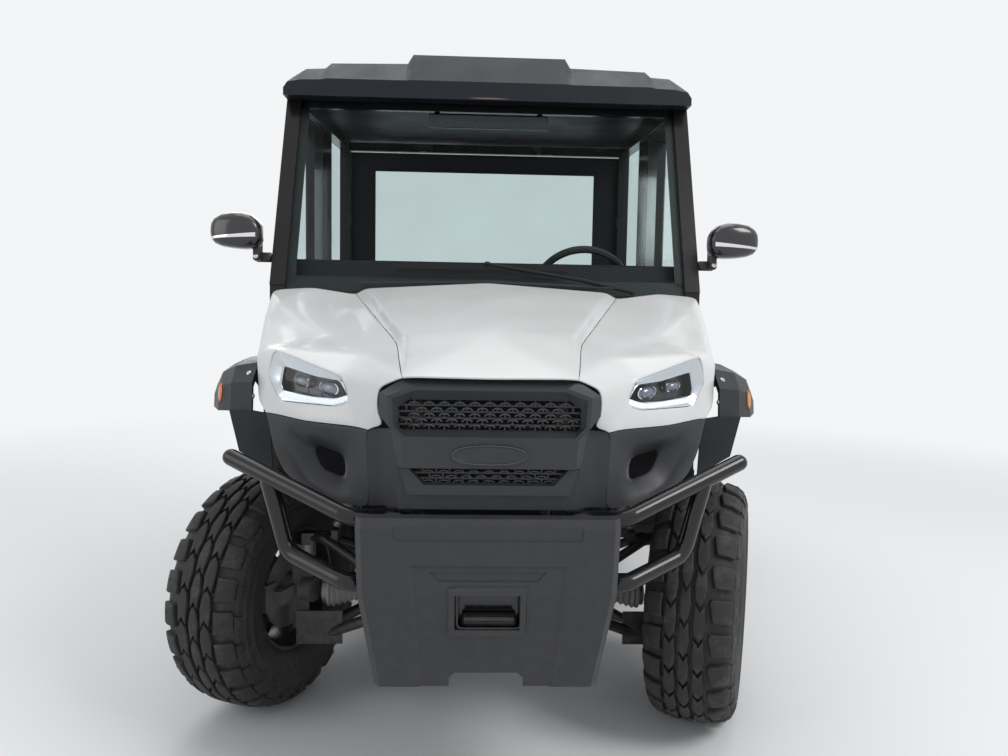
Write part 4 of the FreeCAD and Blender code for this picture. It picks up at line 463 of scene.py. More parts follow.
EYE = Vector((-0.032, -3.290, 1.130))
CAMERA_TURNS = (4.4, 2.07, 1.0)  # pitch down, yaw and roll in degrees
BACKDROP = (0.90, 0.91, 0.92, 1.0)
SKY = (0.88, 0.92, 0.97, 1.0)
SKY_STRENGTH = 0.55
LENS, SENSOR = 27.86, 36.0
LIGHTS = (  # name, place, size, power, aim
    ("key", (3.6, -3.4, 4.6), 2.2, 135.0, (0, -0.6, 0.8)),
    ("fill", (-4.6, -3.6, 2.6), 3.2, 45.0, (0, -0.6, 0.8)),
    ("top", (0.0, 0.4, 5.2), 4.0, 70.0, (0, 0.0, 0.5)),
    ("rear", (-1.5, 5.0, 3.2), 3.0, 70.0, (0, 0.6, 0.9)))
FLOOR_REACH = 60.0
FLOOR_FADE = (2.2, 6.5)  # where the floor starts and ends its change into the backdrop


def add_stage():
    """The photo's camera, four soft lamps, plain surroundings and a floor."""
    pitch, yaw, roll = (math.radians(turn) for turn in CAMERA_TURNS)
    look = Vector((math.sin(yaw) * math.cos(pitch), math.cos(yaw) * math.cos(pitch), -math.sin(pitch)))
    right = Vector((math.cos(yaw), -math.sin(yaw), 0.0))
    up = right.cross(look)
    right, up = (right * math.cos(roll) + up * math.sin(roll),
                 up * math.cos(roll) - right * math.sin(roll))
    data = bpy.data.cameras.new("camera")
    data.sensor_width = SENSOR
    data.lens = LENS
    camera = bpy.data.objects.new("camera", data)
    turn = Matrix((right, up, -look)).transposed()
    camera.matrix_world = Matrix.Translation(EYE) @ turn.to_4x4()
    bpy.context.scene.collection.objects.link(camera)
    bpy.context.scene.camera = camera

    for name, where, size, power, aim in LIGHTS:
        lamp = bpy.data.lights.new(name, "AREA")
        lamp.energy = power
        lamp.size = size
        item = bpy.data.objects.new(name, lamp)
        item.location = where
        item.rotation_euler = (Vector(aim) - Vector(where)).to_track_quat("-Z", "Y").to_euler()
        bpy.context.scene.collection.objects.link(item)

    world = bpy.data.worlds.new("studio")
    bpy.context.scene.world = world
    world.use_nodes = True
    tree = world.node_tree
    tree.nodes.clear()
    shader = Shader(tree)
    soft = shader.add("Background", {"Color": SKY, "Strength": SKY_STRENGTH})
    plain = shader.add("Background", {"Color": BACKDROP, "Strength": 1.0})
    mix = shader.add("MixShader", {0: seen_plainly(shader), 1: soft, 2: plain})
    shader.add("OutputWorld", {0: mix})
    bpy.context.scene.view_settings.view_transform = "Standard"

    mesh = bpy.data.meshes.new("floor")
    corners = [(x * FLOOR_REACH, y * FLOOR_REACH, 0) for x, y in ((-1, -1), (1, -1), (1, 1), (-1, 1))]
    mesh.from_pydata(corners, [], [(0, 1, 2, 3)])
    floor = bpy.data.objects.new("floor", mesh)
    bpy.context.scene.collection.objects.link(floor)
    finish = surface("floor_plain", (0.88, 0.88, 0.875), 0.75, vary=0.015, patch=0.6, grain=0.05,
                     grain_scale=60.0)
    tree = finish.node_tree
    out = next(n for n in tree.nodes if n.type == "OUTPUT_MATERIAL")
    shader = Shader(tree)
    glow = shader.add("Emission", {"Color": BACKDROP, "Strength": 1.0})
    away = shader.add("VectorMath", {0: shader.place()}, operation="LENGTH").outputs["Value"]
    far = shader.span(away, *FLOOR_FADE, interpolation_type="SMOOTHSTEP")
    amount = shader.combine("MULTIPLY", far, seen_plainly(shader))
    blend = shader.add("MixShader", {0: amount, 1: principled(finish), 2: glow})
    tree.links.new(blend.outputs[0], out.inputs[0])
    floor.data.materials.append(finish)
    floor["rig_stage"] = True


add_stage()

# The nose skin: hood, wings and side fascias are cut from one smooth sheet.
# Corners are given on the left side: across, back from the front axle, up, in millimetres.
SKIN = {
    "hood_rear_mid": (0, 345, 1243), "hood_rear_crease": (398, 345, 1218),
    "hood_rear_seam": (426, 345, 1198), "hood_bend_mid": (0, -300, 1100),
    "hood_bend_crease": (207, -300, 1087), "hood_bend_seam": (226, -300, 1062),
    "hood_front_mid": (0, -560, 1001), "hood_front_crease": (172, -560, 1003),
    "hood_front_seam": (192, -552, 1001), "wing_rear_crest": (568, 345, 1218),
    "wing_rear_out": (700, 345, 1208), "crease_rear": (626, 150, 1162), "crease_mid": (420, -150, 1072),
    "crease_front": (313, -330, 1039), "shoulder_rear": (655, 80, 1122),
    "shoulder_front": (595, -200, 1040), "lamp_top_out": (530, -300, 1047),
    "lamp_top_in": (343, -410, 989), "lamp_tip_in": (321, -430, 933), "lamp_foot_in": (350, -420, 918),
    "lamp_foot_out": (511, -320, 919), "lamp_tip_out": (545, -290, 979), "cheek_mid": (583, -240, 968),
    "cheek_low": (578, -260, 914), "jaw_out": (548, -300, 889), "jaw_mid": (428, -390, 877),
    "jaw_in": (279, -470, 876), "jaw_grille": (235, -500, 886), "grille_shoulder": (248, -520, 974),
    "grille_waist": (251, -510, 918), "side_rear": (703, 345, 1026), "side_mid": (649, 45, 1026),
    "side_front": (594, -214, 1024), "fascia_out": (524, -320, 800), "fascia_turn": (497, -330, 745),
    "fascia_low": (442, -370, 718), "fascia_foot": (358, -430, 696), "fascia_in": (270, -476, 696),
    "scoop_top_out": (489, -338, 855), "scoop_top_in": (325, -426, 829),
    "scoop_foot_in": (314, -448, 714), "scoop_foot_out": (434, -372, 736),
    "well_top_out": (428, -328, 815), "well_top_in": (340, -384, 800), "well_foot_in": (336, -392, 745),
    "well_foot_out": (400, -358, 762),
}
HOOD_FACES = """hood_rear_mid hood_rear_crease hood_bend_crease hood_bend_mid
hood_rear_crease hood_rear_seam hood_bend_seam hood_bend_crease
hood_bend_mid hood_bend_crease hood_front_crease hood_front_mid
hood_bend_crease hood_bend_seam hood_front_seam hood_front_crease"""
WING_FACES = """hood_rear_seam wing_rear_crest crease_rear
hood_rear_seam crease_rear crease_mid
hood_rear_seam crease_mid hood_bend_seam
hood_bend_seam crease_mid crease_front
hood_bend_seam crease_front hood_front_seam
wing_rear_crest wing_rear_out crease_rear
wing_rear_out shoulder_rear crease_rear
crease_rear shoulder_rear crease_mid
shoulder_rear shoulder_front crease_mid
crease_mid shoulder_front lamp_top_out
crease_mid lamp_top_out crease_front
crease_front lamp_top_out lamp_top_in
crease_front lamp_top_in grille_shoulder
crease_front grille_shoulder hood_front_seam
lamp_top_in lamp_tip_in grille_waist grille_shoulder
lamp_tip_in jaw_in jaw_grille grille_waist
lamp_tip_in lamp_foot_in jaw_in
lamp_foot_in jaw_mid jaw_in
lamp_foot_in lamp_foot_out jaw_mid
lamp_foot_out jaw_out jaw_mid
lamp_foot_out cheek_low jaw_out
lamp_foot_out lamp_tip_out cheek_low
lamp_tip_out cheek_mid cheek_low
lamp_tip_out shoulder_front cheek_mid
lamp_tip_out lamp_top_out shoulder_front
wing_rear_out side_rear shoulder_rear
shoulder_rear side_rear side_mid
shoulder_rear side_mid shoulder_front
shoulder_front side_mid side_front
shoulder_front side_front cheek_mid"""
FASCIA_FACES = """jaw_out scoop_top_out jaw_mid
jaw_mid scoop_top_out scoop_top_in
jaw_mid scoop_top_in jaw_in
jaw_in scoop_top_in fascia_in
scoop_top_in scoop_foot_in fascia_in
scoop_foot_in fascia_foot fascia_in
scoop_foot_in fascia_low fascia_foot
scoop_foot_in scoop_foot_out fascia_low
scoop_foot_out fascia_turn fascia_low
scoop_foot_out fascia_out fascia_turn
scoop_foot_out scoop_top_out fascia_out
scoop_top_out jaw_out fascia_out
scoop_top_out well_top_out well_top_in scoop_top_in
scoop_top_in well_top_in well_foot_in scoop_foot_in
scoop_foot_in well_foot_in well_foot_out scoop_foot_out
scoop_foot_out well_foot_out well_top_out scoop_top_out"""
PANELS = (("hood_skin", HOOD_FACES, "white", "hood_panel"),
          ("wing_skin", WING_FACES, "white", "front_wings"),
          ("fascia_skin", FASCIA_FACES, "grey", "side_fascias"))
LONGEST_EDGE = 0.017
SEAM = 0.0012
PANEL_WALL = 0.004
PANEL_EDGE = 0.0012
CORNER_TURNS = 4  # rounds of smoothing for the open edges


def nose_sheet():
    """The whole skin as one fine sheet, each face marked with its panel's number."""
    bm = bmesh.new()
    mark = bm.faces.layers.int.new("panel")
    found = {}

    def corner(name, side):
        across, back, up = SKIN[name]
        key = (across * side, back, up)
        if key not in found:
            found[key] = bm.verts.new((across * side / 1000, FRONT_AXLE + back / 1000, up / 1000))
        return found[key]

    for number, (name, table, material, node) in enumerate(PANELS):
        for row in table.split("\n"):
            for side in (1, -1):
                face = bm.faces.new([corner(n, side) for n in row.split()])
                face[mark] = number
    bmesh.ops.recalc_face_normals(bm, faces=bm.faces)
    top = max(bm.faces, key=lambda f: f.calc_center_median().z)
    if top.normal.z < 0:
        bmesh.ops.reverse_faces(bm, faces=bm.faces)
    bmesh.ops.triangulate(bm, faces=bm.faces)
    for turn in range(7):
        long = [e for e in bm.edges if e.calc_length() > LONGEST_EDGE]
        if not long:
            break
        bmesh.ops.subdivide_edges(bm, edges=long, cuts=1)
        bmesh.ops.triangulate(bm, faces=[f for f in bm.faces if len(f.verts) > 3],
                              quad_method="SHORT_EDGE")
    relax(bm, mark)
    return bm, mark


def relax(bm, mark, turns=14):
    """Rounds the folds. Open edges only run smoother along themselves, and so do the seams."""
    lines = {}
    for vert in bm.verts:
        edges = [e for e in vert.link_edges if e.is_boundary]
        if not edges:
            edges = [e for e in vert.link_edges
                     if len(e.link_faces) == 2 and e.link_faces[0][mark] != e.link_faces[1][mark]]
        lines[vert] = [e.other_vert(vert) for e in edges] if len(edges) == 2 else None
    open_edge = {v for v in bm.verts if v.is_boundary}
    for turn in range(turns):
        bm.normal_update()
        moved = {}
        for vert in bm.verts:
            line = lines[vert]
            here = vert.co
            if vert in open_edge:
                if line and turn < CORNER_TURNS:
                    moved[vert] = here.lerp((line[0].co + line[1].co) / 2, 0.4)
                continue
            near = [e.other_vert(vert).co for e in vert.link_edges]
            shift = (sum(near, Vector()) / len(near) - here) * 0.5
            if line:
                along = ((line[0].co + line[1].co) / 2 - here) * 0.5
                normal = vert.normal
                shift = normal * shift.dot(normal) + along - normal * along.dot(normal)
            moved[vert] = here + shift
        for vert, place in moved.items():
            vert.co = place


def cut_panels(bm, mark):
    """Cuts the sheet into its panels, with a narrow seam between them and a wall behind each."""
    bm.verts.ensure_lookup_table()
    bm.verts.index_update()
    shared = {v.index for v in bm.verts if len({f[mark] for f in v.link_faces}) > 1}
    for number, (name, table, material, node) in enumerate(PANELS):
        part = bm.copy()
        own = part.faces.layers.int["panel"]
        part.verts.ensure_lookup_table()
        seam = [part.verts[k] for k in shared]
        bmesh.ops.delete(part, geom=[f for f in part.faces if f[own] != number], context="FACES")
        shifts = {}
        for vert in seam:
            if not vert.is_valid or not vert.is_boundary:
                continue
            inner = [e.other_vert(vert).co for e in vert.link_edges if not e.is_boundary]
            if inner:
                shifts[vert] = (sum(inner, Vector()) / len(inner) - vert.co).normalized() * SEAM
        for vert, shift in shifts.items():
            vert.co += shift
        mesh = bpy.data.meshes.new(name)
        part.to_mesh(mesh)
        part.free()
        smooth(mesh, 55.0)
        item = piece(name, mesh, "chassis", material, (node,))
        wall = item.modifiers.new("wall", "SOLIDIFY")
        wall.thickness = PANEL_WALL
        wall.offset = -1.0
        wall.use_even_offset = True
        edge = item.modifiers.new("edge", "BEVEL")
        edge.limit_method = "ANGLE"
        edge.angle_limit = math.radians(55.0)
        edge.width = PANEL_EDGE
        edge.segments = 2


sheet, panel_mark = nose_sheet()
cut_panels(sheet, panel_mark)
sheet.free()

# Headlamps, drawn in the plane of their rims: across and up in millimetres, then out of the plane.
# The lamp on the right: middle of its rim, then the directions across, up and out.
LAMP_O = Vector((-433.3, -361.7, 964.2))
LAMP_U = Vector((-0.843, 0.516, 0.155))
LAMP_V = Vector((0.174, -0.010, 0.985))
LAMP_N = Vector((-0.510, -0.857, 0.081))
LAMP_RIM = [(126, 64), (-97, 41), (-135, -10), (-107, -30), (80, -58), (133, -6)]
LAMP_HOUSE = [(92, 26), (9, 22.5), (-14, 22), (-85, 27), (-116, -1), (-82, -15), (-9, -27), (82, -31),
              (92, -19)]
LED_TOP = [(79, -36), (4, -28), (-62, -23), (-89, -16), (-120, 0)]
LED_FOOT = [(81, -48), (1, -41), (-64, -34), (-94, -28), (-132, -9)]


def lamp_point(u, v, w, side):
    """A place on the lamp of the given side: 1 is the left."""
    place = LAMP_O + LAMP_U * u + LAMP_V * v + LAMP_N * w
    return Vector((-side * place.x / 1000, FRONT_AXLE + place.y / 1000, place.z / 1000))


def rayed(loop, count, corner=7.0):
    """Points of a loop at even angles around the lamp's middle, its corners rounded."""
    fine = []
    for k, (x, y) in enumerate(loop):
        before, after = Vector(loop[k - 1]), Vector(loop[(k + 1) % len(loop)])
        here = Vector((x, y))
        start = here + (before - here).normalized() * corner
        end = here + (after - here).normalized() * corner
        for j in range(5):
            t = j / 4
            fine.append(start * (1 - t) ** 2 + here * 2 * t * (1 - t) + end * t * t)
    result = []
    for spot in round_trip(count):
        ray = Vector(spot)
        best = 0.0
        for a, b in zip(fine, fine[1:] + fine[:1]):
            edge = b - a
            cross = ray.x * edge.y - ray.y * edge.x
            if abs(cross) < 1e-9:
                continue
            reach = (a.x * edge.y - a.y * edge.x) / cross
            part = (a.x * ray.y - a.y * ray.x) / cross
            if reach > 0 and -1e-6 <= part <= 1 + 1e-6:
                best = max(best, reach)
        result.append((ray.x * best, ray.y * best))
    return result


def along(points, t):
    """A place on a line of points at the share t of its length."""
    spots = [Vector(p) for p in points]
    lengths = [(b - a).length for a, b in zip(spots, spots[1:])]
    left = t * sum(lengths)
    for a, b, length in zip(spots, spots[1:], lengths):
        if left <= length:
            return a.lerp(b, left / length)
        left -= length
    return spots[-1]


LAMP_STEPS = 96
LENS_STEPS = 48
LED_SEGMENTS = 14
LENSES = ((36, 1, 50, 26), (-51, 2, 58, 32))  # middle across and up, width, height
LENS_RING = ((0.90, -30), (0.92, -20), (0.98, -17), (1.06, -18), (1.10, -24), (1.10, -32))  # share, depth


def headlamp(label, side):
    """Bezel, housing, two projector lenses with rings, the daytime strip and the clear cover."""
    rim = rayed(LAMP_RIM, LAMP_STEPS)
    house = rayed(LAMP_HOUSE, LAMP_STEPS, corner=5.0)

    def ring(loop, w, scale=1.0):
        return [lamp_point(u * scale, v * scale, w, side) for u, v in loop]

    bezel = Kit()
    outer = [ring(rim, w, scale) for w, scale in ((-7, 0.995), (-1.5, 0.985), (-3, 0.965))]
    inner = [ring(house, w, scale) for w, scale in ((-9, 1.06), (-8, 1.03), (-11, 1.0), (-16, 0.985))]
    bezel.loft(outer + inner, False, False)
    bezel.make("lamp_bezel_" + label, "chassis", "bezel", ("headlamps",), angle=30.0)
    bowl = Kit()
    bowl.loft([ring(house, w, scale) for w, scale in ((-11, 1.0), (-20, 0.97), (-34, 0.93), (-36, 0.5))],
              False, True)
    bowl.tube([lamp_point(*spot, side) for spot in ((7, 23, -12), (3, -3, -9), (0, -30, -12))], 0.0016, 8)
    bowl.make("lamp_bowl_" + label, "chassis", "housing")
    lenses, rings = Kit(), Kit()
    for u0, v0, wide, high in LENSES:
        def oval(scale, w):
            return [lamp_point(u0 + wide / 2 * scale * c, v0 + high / 2 * scale * s, w, side)
                    for c, s in round_trip(LENS_STEPS)]

        dome = [math.pi / 2 * level / 6 for level in range(7)]
        lenses.loft([oval(math.cos(turn) * 0.90 + 0.001, math.sin(turn) * 14 - 26) for turn in dome])
        rings.loft([oval(scale, w) for scale, w in LENS_RING], False, False)
    lenses.make("lamp_lenses_" + label, "chassis", "lens")
    rings.make("lamp_rings_" + label, "chassis", "chrome")
    strip = Kit()
    for k in range(LED_SEGMENTS):
        a, b = (k + 0.06) / LED_SEGMENTS, (k + 0.94) / LED_SEGMENTS
        corners = [along(LED_TOP, a), along(LED_TOP, b), along(LED_FOOT, b), along(LED_FOOT, a)]
        middle = sum(corners, Vector((0, 0))) / 4
        loops = [[lamp_point(p.x, p.y, w, side) for p in (middle + (c - middle) * grow for c in corners)]
                 for w, grow in ((-9, 1.0), (-4, 1.0), (-2.6, 0.86))]
        strip.loft(loops)
    strip.make("lamp_strip_" + label, "chassis", "led", angle=20.0)
    cover = Kit()
    cover.loft([ring(rim, w, scale) for w, scale in (
        (-3, 0.985), (-1, 0.975), (0.5, 0.9), (2.0, 0.7), (3, 0.4), (3.4, 0.02))], False, True)
    cover.make("lamp_cover_" + label, "chassis", "clear", angle=60.0)


for label, side in SIDES:
    headlamp(label, side)

# Tyres: blocks are drawn flat (along the tread, across it, outwards, in millimetres) and wrapped round.
TREAD_RADIUS = 336.0
PITCHES = 24
PITCH = 2 * math.pi * TREAD_RADIUS / PITCHES
GROOVE_FOOT = -13.5
CUT_STEP = 14.0  # longest flat stretch along the tread
TYRE_PATH = [  # half of the outer section: distance from the middle plane, radius
    (0, 336), (20, 335.8), (40, 335), (67, 331), (90, 323), (104, 313), (112, 301), (117, 287),
    (119, 268), (119.5, 248), (117, 225), (110, 202), (102, 184), (96, 172)]
PATH_LENGTHS = [0.0]
for (x0, r0), (x1, r1) in zip(TYRE_PATH, TYRE_PATH[1:]):
    PATH_LENGTHS.append(PATH_LENGTHS[-1] + math.hypot(x1 - x0, r1 - r0))
PATH_NORMALS = []
for k in range(len(TYRE_PATH)):
    (x0, r0), (x1, r1) = TYRE_PATH[max(k - 1, 0)], TYRE_PATH[min(k + 1, len(TYRE_PATH) - 1)]
    PATH_NORMALS.append(Vector((r0 - r1, x1 - x0)).normalized() if k else Vector((0.0, 1.0)))


def tyre_place(run, across, out):
    """A flat place of the tread, wrapped round the wheel's own X axis."""
    reach = min(abs(across), PATH_LENGTHS[-1] - 1e-6)
    k = max(j for j in range(len(TYRE_PATH) - 1) if PATH_LENGTHS[j] <= reach)
    share = (reach - PATH_LENGTHS[k]) / (PATH_LENGTHS[k + 1] - PATH_LENGTHS[k])
    spot = Vector(TYRE_PATH[k]).lerp(Vector(TYRE_PATH[k + 1]), share)
    spot += PATH_NORMALS[k].lerp(PATH_NORMALS[k + 1], share).normalized() * out
    angle = run / TREAD_RADIUS
    return Vector((math.copysign(spot.x, across) if abs(across) > 1e-6 else 0.0,
                   spot.y * math.cos(angle), spot.y * math.sin(angle))) / 1000


def block_rows(loop, top, chamfer, foot):
    """A tread block's four outlines, from its foot up to its chamfered top."""
    middle = sum((Vector(p) for p in loop), Vector((0, 0))) / len(loop)
    reach_s = max(abs(p[0] - middle.x) for p in loop)
    reach_t = max(abs(p[1] - middle.y) for p in loop)
    rows = []
    levels = ((foot, -1.2), (top - chamfer, 0.0), (top - chamfer * 0.3, chamfer * 0.4), (top, chamfer))
    for out, inset in levels:
        rows.append([(middle.x + (s - middle.x) * (1 - inset / reach_s),
                      middle.y + (t - middle.y) * (1 - inset / reach_t), out) for s, t in loop])
    return rows


def shield(start, middle, half, tip=9.0, gap=13.0):
    """The outline of a block whose pointed end runs into the next block's notch."""
    reach = (PITCH - gap) / 2
    inner = half - 2.0
    outer = half + 1.5
    loop = [(reach - tip, -inner), (reach + tip, 0), (reach - tip, inner), (0, outer),
            (-reach - tip, inner), (-reach + tip, 0), (-reach - tip, -inner), (0, -outer)]
    return [(start + s, middle + t) for s, t in loop]


def one_pitch():
    """The blocks of one repeat of the tread, cut fine enough to wrap."""
    flat = Kit()
    rows = [(shield(PITCH * 0.50, -42.0, 14.5), 0.0, 2.2, GROOVE_FOOT),
            (shield(0.0, -6.0, 12.5), 0.0, 2.0, GROOVE_FOOT),
            (shield(PITCH * 0.50, 30.0, 14.0), 0.0, 2.2, GROOVE_FOOT)]
    shoulder = [(-33, 58), (-24, 54), (12, 60), (26, 64), (27, 112), (20, 119), (-30, 119), (-34, 112)]
    other = [(-26, -63), (-12, -66), (28, -66), (34, -63), (35, -112), (29, -119), (-18, -119),
             (-25, -112)]
    rows.append(([(s + PITCH * 0.15, t) for s, t in shoulder], 0.0, 2.6, GROOVE_FOOT))
    rows.append(([(s + PITCH * 0.05, t) for s, t in other], 0.0, 2.6, GROOVE_FOOT))
    for sign, start in ((1, PITCH * 0.13), (-1, PITCH * 0.10)):
        lug = ((-22, 121), (16, 121), (12, 146), (4, 152), (-14, 152), (-20, 144))
        rows.append(([(start + s, t * sign) for s, t in lug], -0.8, 1.5, -7.0))
    for loop, top, chamfer, foot in rows:
        flat.loft(block_rows(loop, top, chamfer, foot), False, True)
    for start, across in ((PITCH * 0.17, 92), (PITCH * 0.10, -92)):
        pit = [[(start + r * c, across + r * 0.8 * s, out) for c, s in round_trip(12)]
               for r, out in ((6.5, 0.2), (5.5, 0.9), (4.0, 0.2))]
        flat.loft(pit, False, False)
    mesh = flat.mesh("tread_flat")
    bm = bmesh.new()
    bm.from_mesh(mesh)
    bpy.data.meshes.remove(mesh)
    bmesh.ops.triangulate(bm, faces=bm.faces)
    low = math.floor(min(v.co.x for v in bm.verts) / CUT_STEP)
    high = math.ceil(max(v.co.x for v in bm.verts) / CUT_STEP)
    cuts = [(CUT_STEP * k, 0) for k in range(low, high + 1)]
    cuts += [(sign * length, 1) for length in PATH_LENGTHS[1:8] for sign in (1, -1)]
    for where, axis in cuts:
        spot, normal = Vector((0, 0, 0)), Vector((0, 0, 0))
        spot[axis], normal[axis] = where, 1.0
        bmesh.ops.bisect_plane(bm, geom=bm.verts[:] + bm.edges[:] + bm.faces[:], plane_co=spot,
                               plane_no=normal)
    bm.verts.index_update()
    points = [tuple(v.co) for v in bm.verts]
    faces = [[v.index for v in f.verts] for f in bm.faces]
    bm.free()
    return points, faces


CARCASS = (  # along the tyre's section from the middle, and how far inside it
    (0, -12), (50, -12), (85, -12), (108, -12), (120, -10), (134, -4.5), (152, -3.5), (156, -1.2),
    (160, -1.2), (164, -2.6), (182, -2.4), (185, -0.6), (188, -0.6), (191, -2.2), (208, -2.0),
    (222, -0.6), (236, -0.2), (246, -0.2))
BEAD = (0.088, 0.171)


def tyre_mesh():
    """One tyre: its tread blocks all round and the carcass under them."""
    kit = Kit()
    points, faces = one_pitch()
    for number in range(PITCHES):
        kit.add([tyre_place(s + number * PITCH, t, h) for s, t, h in points], faces)
    section = []
    for t, out in CARCASS:
        place = tyre_place(0, t, out)
        section.append((place.x, place.y))
    section.append(BEAD)
    profile = [(-x, r) for x, r in reversed(section)] + section[1:]
    kit.turned(profile, (0, 0, 0), (1, 0, 0), 112)
    return kit.mesh("tyre_tread", 32.0)


WHEELS = (  # name, centre, degrees turned about the upright
    ("front_left", (0.62604, -1.10608, AXLE_UP), -22.0),
    ("front_right", (-0.62604, -1.01392, AXLE_UP), 158.0),
    ("rear_left", (0.635, REAR_AXLE, AXLE_UP), 0.0), ("rear_right", (-0.635, REAR_AXLE, AXLE_UP), 180.0))
NUT = [(0.040, 0.0125), (0.044, 0.0125), (0.044, 0.0095), (0.055, 0.0095), (0.0565, 0.0075),
       (0.057, 0.002)]
HUB_CAP = [(0.0575, 0.030), (0.062, 0.029), (0.066, 0.022), (0.068, 0.010), (0.0685, 0.001)]
NUT_CIRCLE = 0.056
tyre = tyre_mesh()
for label, centre, turn in WHEELS:
    place = Matrix.Translation(centre) @ Matrix.Rotation(math.radians(turn), 4, "Z")
    piece("tread_" + label, tyre, body_of("tyre_" + label), "tyre", ("tyre_" + label,), place)
    nuts = Kit()
    for k in range(4):
        angle = math.pi / 4 + math.pi / 2 * k
        middle = Vector((0, math.cos(angle), math.sin(angle))) * NUT_CIRCLE
        nuts.turned(NUT, middle, (1, 0, 0), 6, True)
    nuts.turned(HUB_CAP, (0, 0, 0), (1, 0, 0), 40)
    nuts.make("nuts_" + label, body_of("rim_" + label), "bolt", place=place)

# Coil springs and dampers
DAMPER_FOOT, DAMPER_HEAD = (0.429, 0.5239), (0.285, 0.7527)  # out from the middle, up
COIL_TURNS, COIL_RADIUS, WIRE_RADIUS = 7.5, 0.0300, 0.0055
COIL_STEPS = 180
DAMPER_PROFILE = (  # share of the damper's length, radius
    (0, 0.001), (0, 0.012), (0.10, 0.012), (0.105, 0.030), (0.112, 0.0355), (0.135, 0.0355),
    (0.142, 0.033), (0.145, 0.021), (0.62, 0.021), (0.63, 0.018), (0.64, 0.008), (0.895, 0.008),
    (0.90, 0.034), (0.93, 0.0355), (0.935, 0.012), (1, 0.011), (1, 0.001))
springs, bodies = Kit(), Kit()
for axle in (FRONT_AXLE, REAR_AXLE):
    for sign in (1, -1):
        low = Vector((DAMPER_FOOT[0] * sign, axle, DAMPER_FOOT[1]))
        high = Vector((DAMPER_HEAD[0] * sign, axle, DAMPER_HEAD[1]))
        run = high - low
        axis = run.normalized()
        side = axis.orthogonal().normalized()
        other = axis.cross(side)
        path = []
        for k in range(COIL_STEPS + 1):
            share = k / COIL_STEPS
            angle = 2 * math.pi * COIL_TURNS * share
            reach = 0.14 + 0.76 * share
            swing = side * math.cos(angle) + other * math.sin(angle)
            path.append(low + run * reach + swing * COIL_RADIUS)
        springs.tube(path, WIRE_RADIUS, 8)
        bodies.turned([(share * run.length, radius) for share, radius in DAMPER_PROFILE], low, axis, 32)
springs.make("coil_springs", body_of("dampers"), "spring", ("dampers",))
bodies.make("damper_bodies", body_of("dampers"), "casting", ("dampers",))

# Ribbed boots over the ends of the half shafts
BOOT_RIBS = 5
boots = Kit()
for axle in (FRONT_AXLE, REAR_AXLE):
    for sign in (1, -1):
        rows = [(0.352, 0.018), (0.358, 0.021)]
        for k in range(BOOT_RIBS):
            rows += [(x + k * 0.016, radius + k * 0.0042)
                     for x, radius in ((0.362, 0.026), (0.370, 0.033), (0.376, 0.027))]
        rows += [(0.444, 0.049), (0.450, 0.049), (0.450, 0.020)]
        boots.turned(rows, (0, axle, AXLE_UP), (sign, 0, 0), 40)
boots.make("shaft_boots", "chassis", "boot")


# Side mirrors
def squared(value, power):
    """A cosine or sine pushed outwards, which makes a circle squarish."""
    return math.copysign(abs(value) ** power, value)


def rounded(x, y, z, half_y, half_z):
    """A squarish ring of points at a place along X."""
    return [(x, y + half_y * squared(c, 0.625), z + half_z * squared(s, 0.625))
            for c, s in round_trip(36)]


CAB_SIDE = 0.715
MIRROR_ROWS = (  # out from the cab's side, front and rear back from the front axle, low and high
    (24, 335, 402, 1362, 1418), (32, 330, 414, 1350, 1432), (50, 325, 425, 1341, 1448),
    (78, 323, 430, 1339, 1456), (112, 325, 431, 1341, 1456), (146, 330, 431, 1346, 1451),
    (168, 338, 428, 1354, 1440), (178, 346, 425, 1364, 1428), (183, 356, 420, 1376, 1412))
MIRROR_FOOT = FRONT_AXLE + 0.380
STRIP_SECTION = ((0.004, -1.0), (-0.0012, -0.7), (-0.0018, 0.0), (-0.0012, 0.7), (0.004, 1.0))


def by_cab(out, sign, y, z):
    """A place a given way out from the cab's side."""
    return Vector(((CAB_SIDE + out) * sign, y, z))


for label, sign in SIDES:
    shell, glint, arm, face = Kit(), Kit(), Kit(), Kit()
    loops, path = [], []
    for out, front, rear, low, high in MIRROR_ROWS:
        x, y, z = by_cab(out / 1000, sign, FRONT_AXLE + (front + rear) / 2000, (low + high) / 2000)
        loops.append(rounded(x, y, z, (rear - front) / 2000, (high - low) / 2000))
        y = FRONT_AXLE + (front - 1.0 + max(0, 60 - out) * 0.06) / 1000
        path.append(by_cab(out / 1000, sign, y, (1386 - out * 0.075) / 1000))
    shell.loft(loops)
    band = []
    for k, spot in enumerate(path[1:-1]):
        half = 0.0100 - 0.0011 * k
        band.append([spot + Vector((0, back, half * share)) for back, share in STRIP_SECTION])
    glint.loft(band)
    arm.slab(by_cab(0.0285, sign, MIRROR_FOOT + 0.044, 1.318), 0.028, 0.0115, 0.016, 0.25)
    arm.slab(by_cab(0.045, sign, MIRROR_FOOT + 0.026, 1.350), 0.0115, 0.0235, 0.046, 0.25)
    face.slab(by_cab(0.105, sign, FRONT_AXLE + 0.4325, 1.398), 0.060, 0.0008, 0.042, 0.3)
    shell.make("mirror_shell_" + label, "chassis", "mirror", ("side_mirrors",), angle=50.0)
    glint.make("mirror_strip_" + label, "chassis", "chrome")
    arm.make("mirror_arm_" + label, "chassis", "steel")
    face.make("mirror_face_" + label, "chassis", "chrome")
    bolt = Kit()
    bolt.turned([(0, 0.0075), (0.003, 0.0075), (0.0045, 0.005), (0.005, 0.0005)],
                by_cab(0.045, sign, MIRROR_FOOT + 0.0022, 1.318), (0, -1, 0), 16)
    bolt.make("mirror_bolt_" + label, "chassis", "bolt")

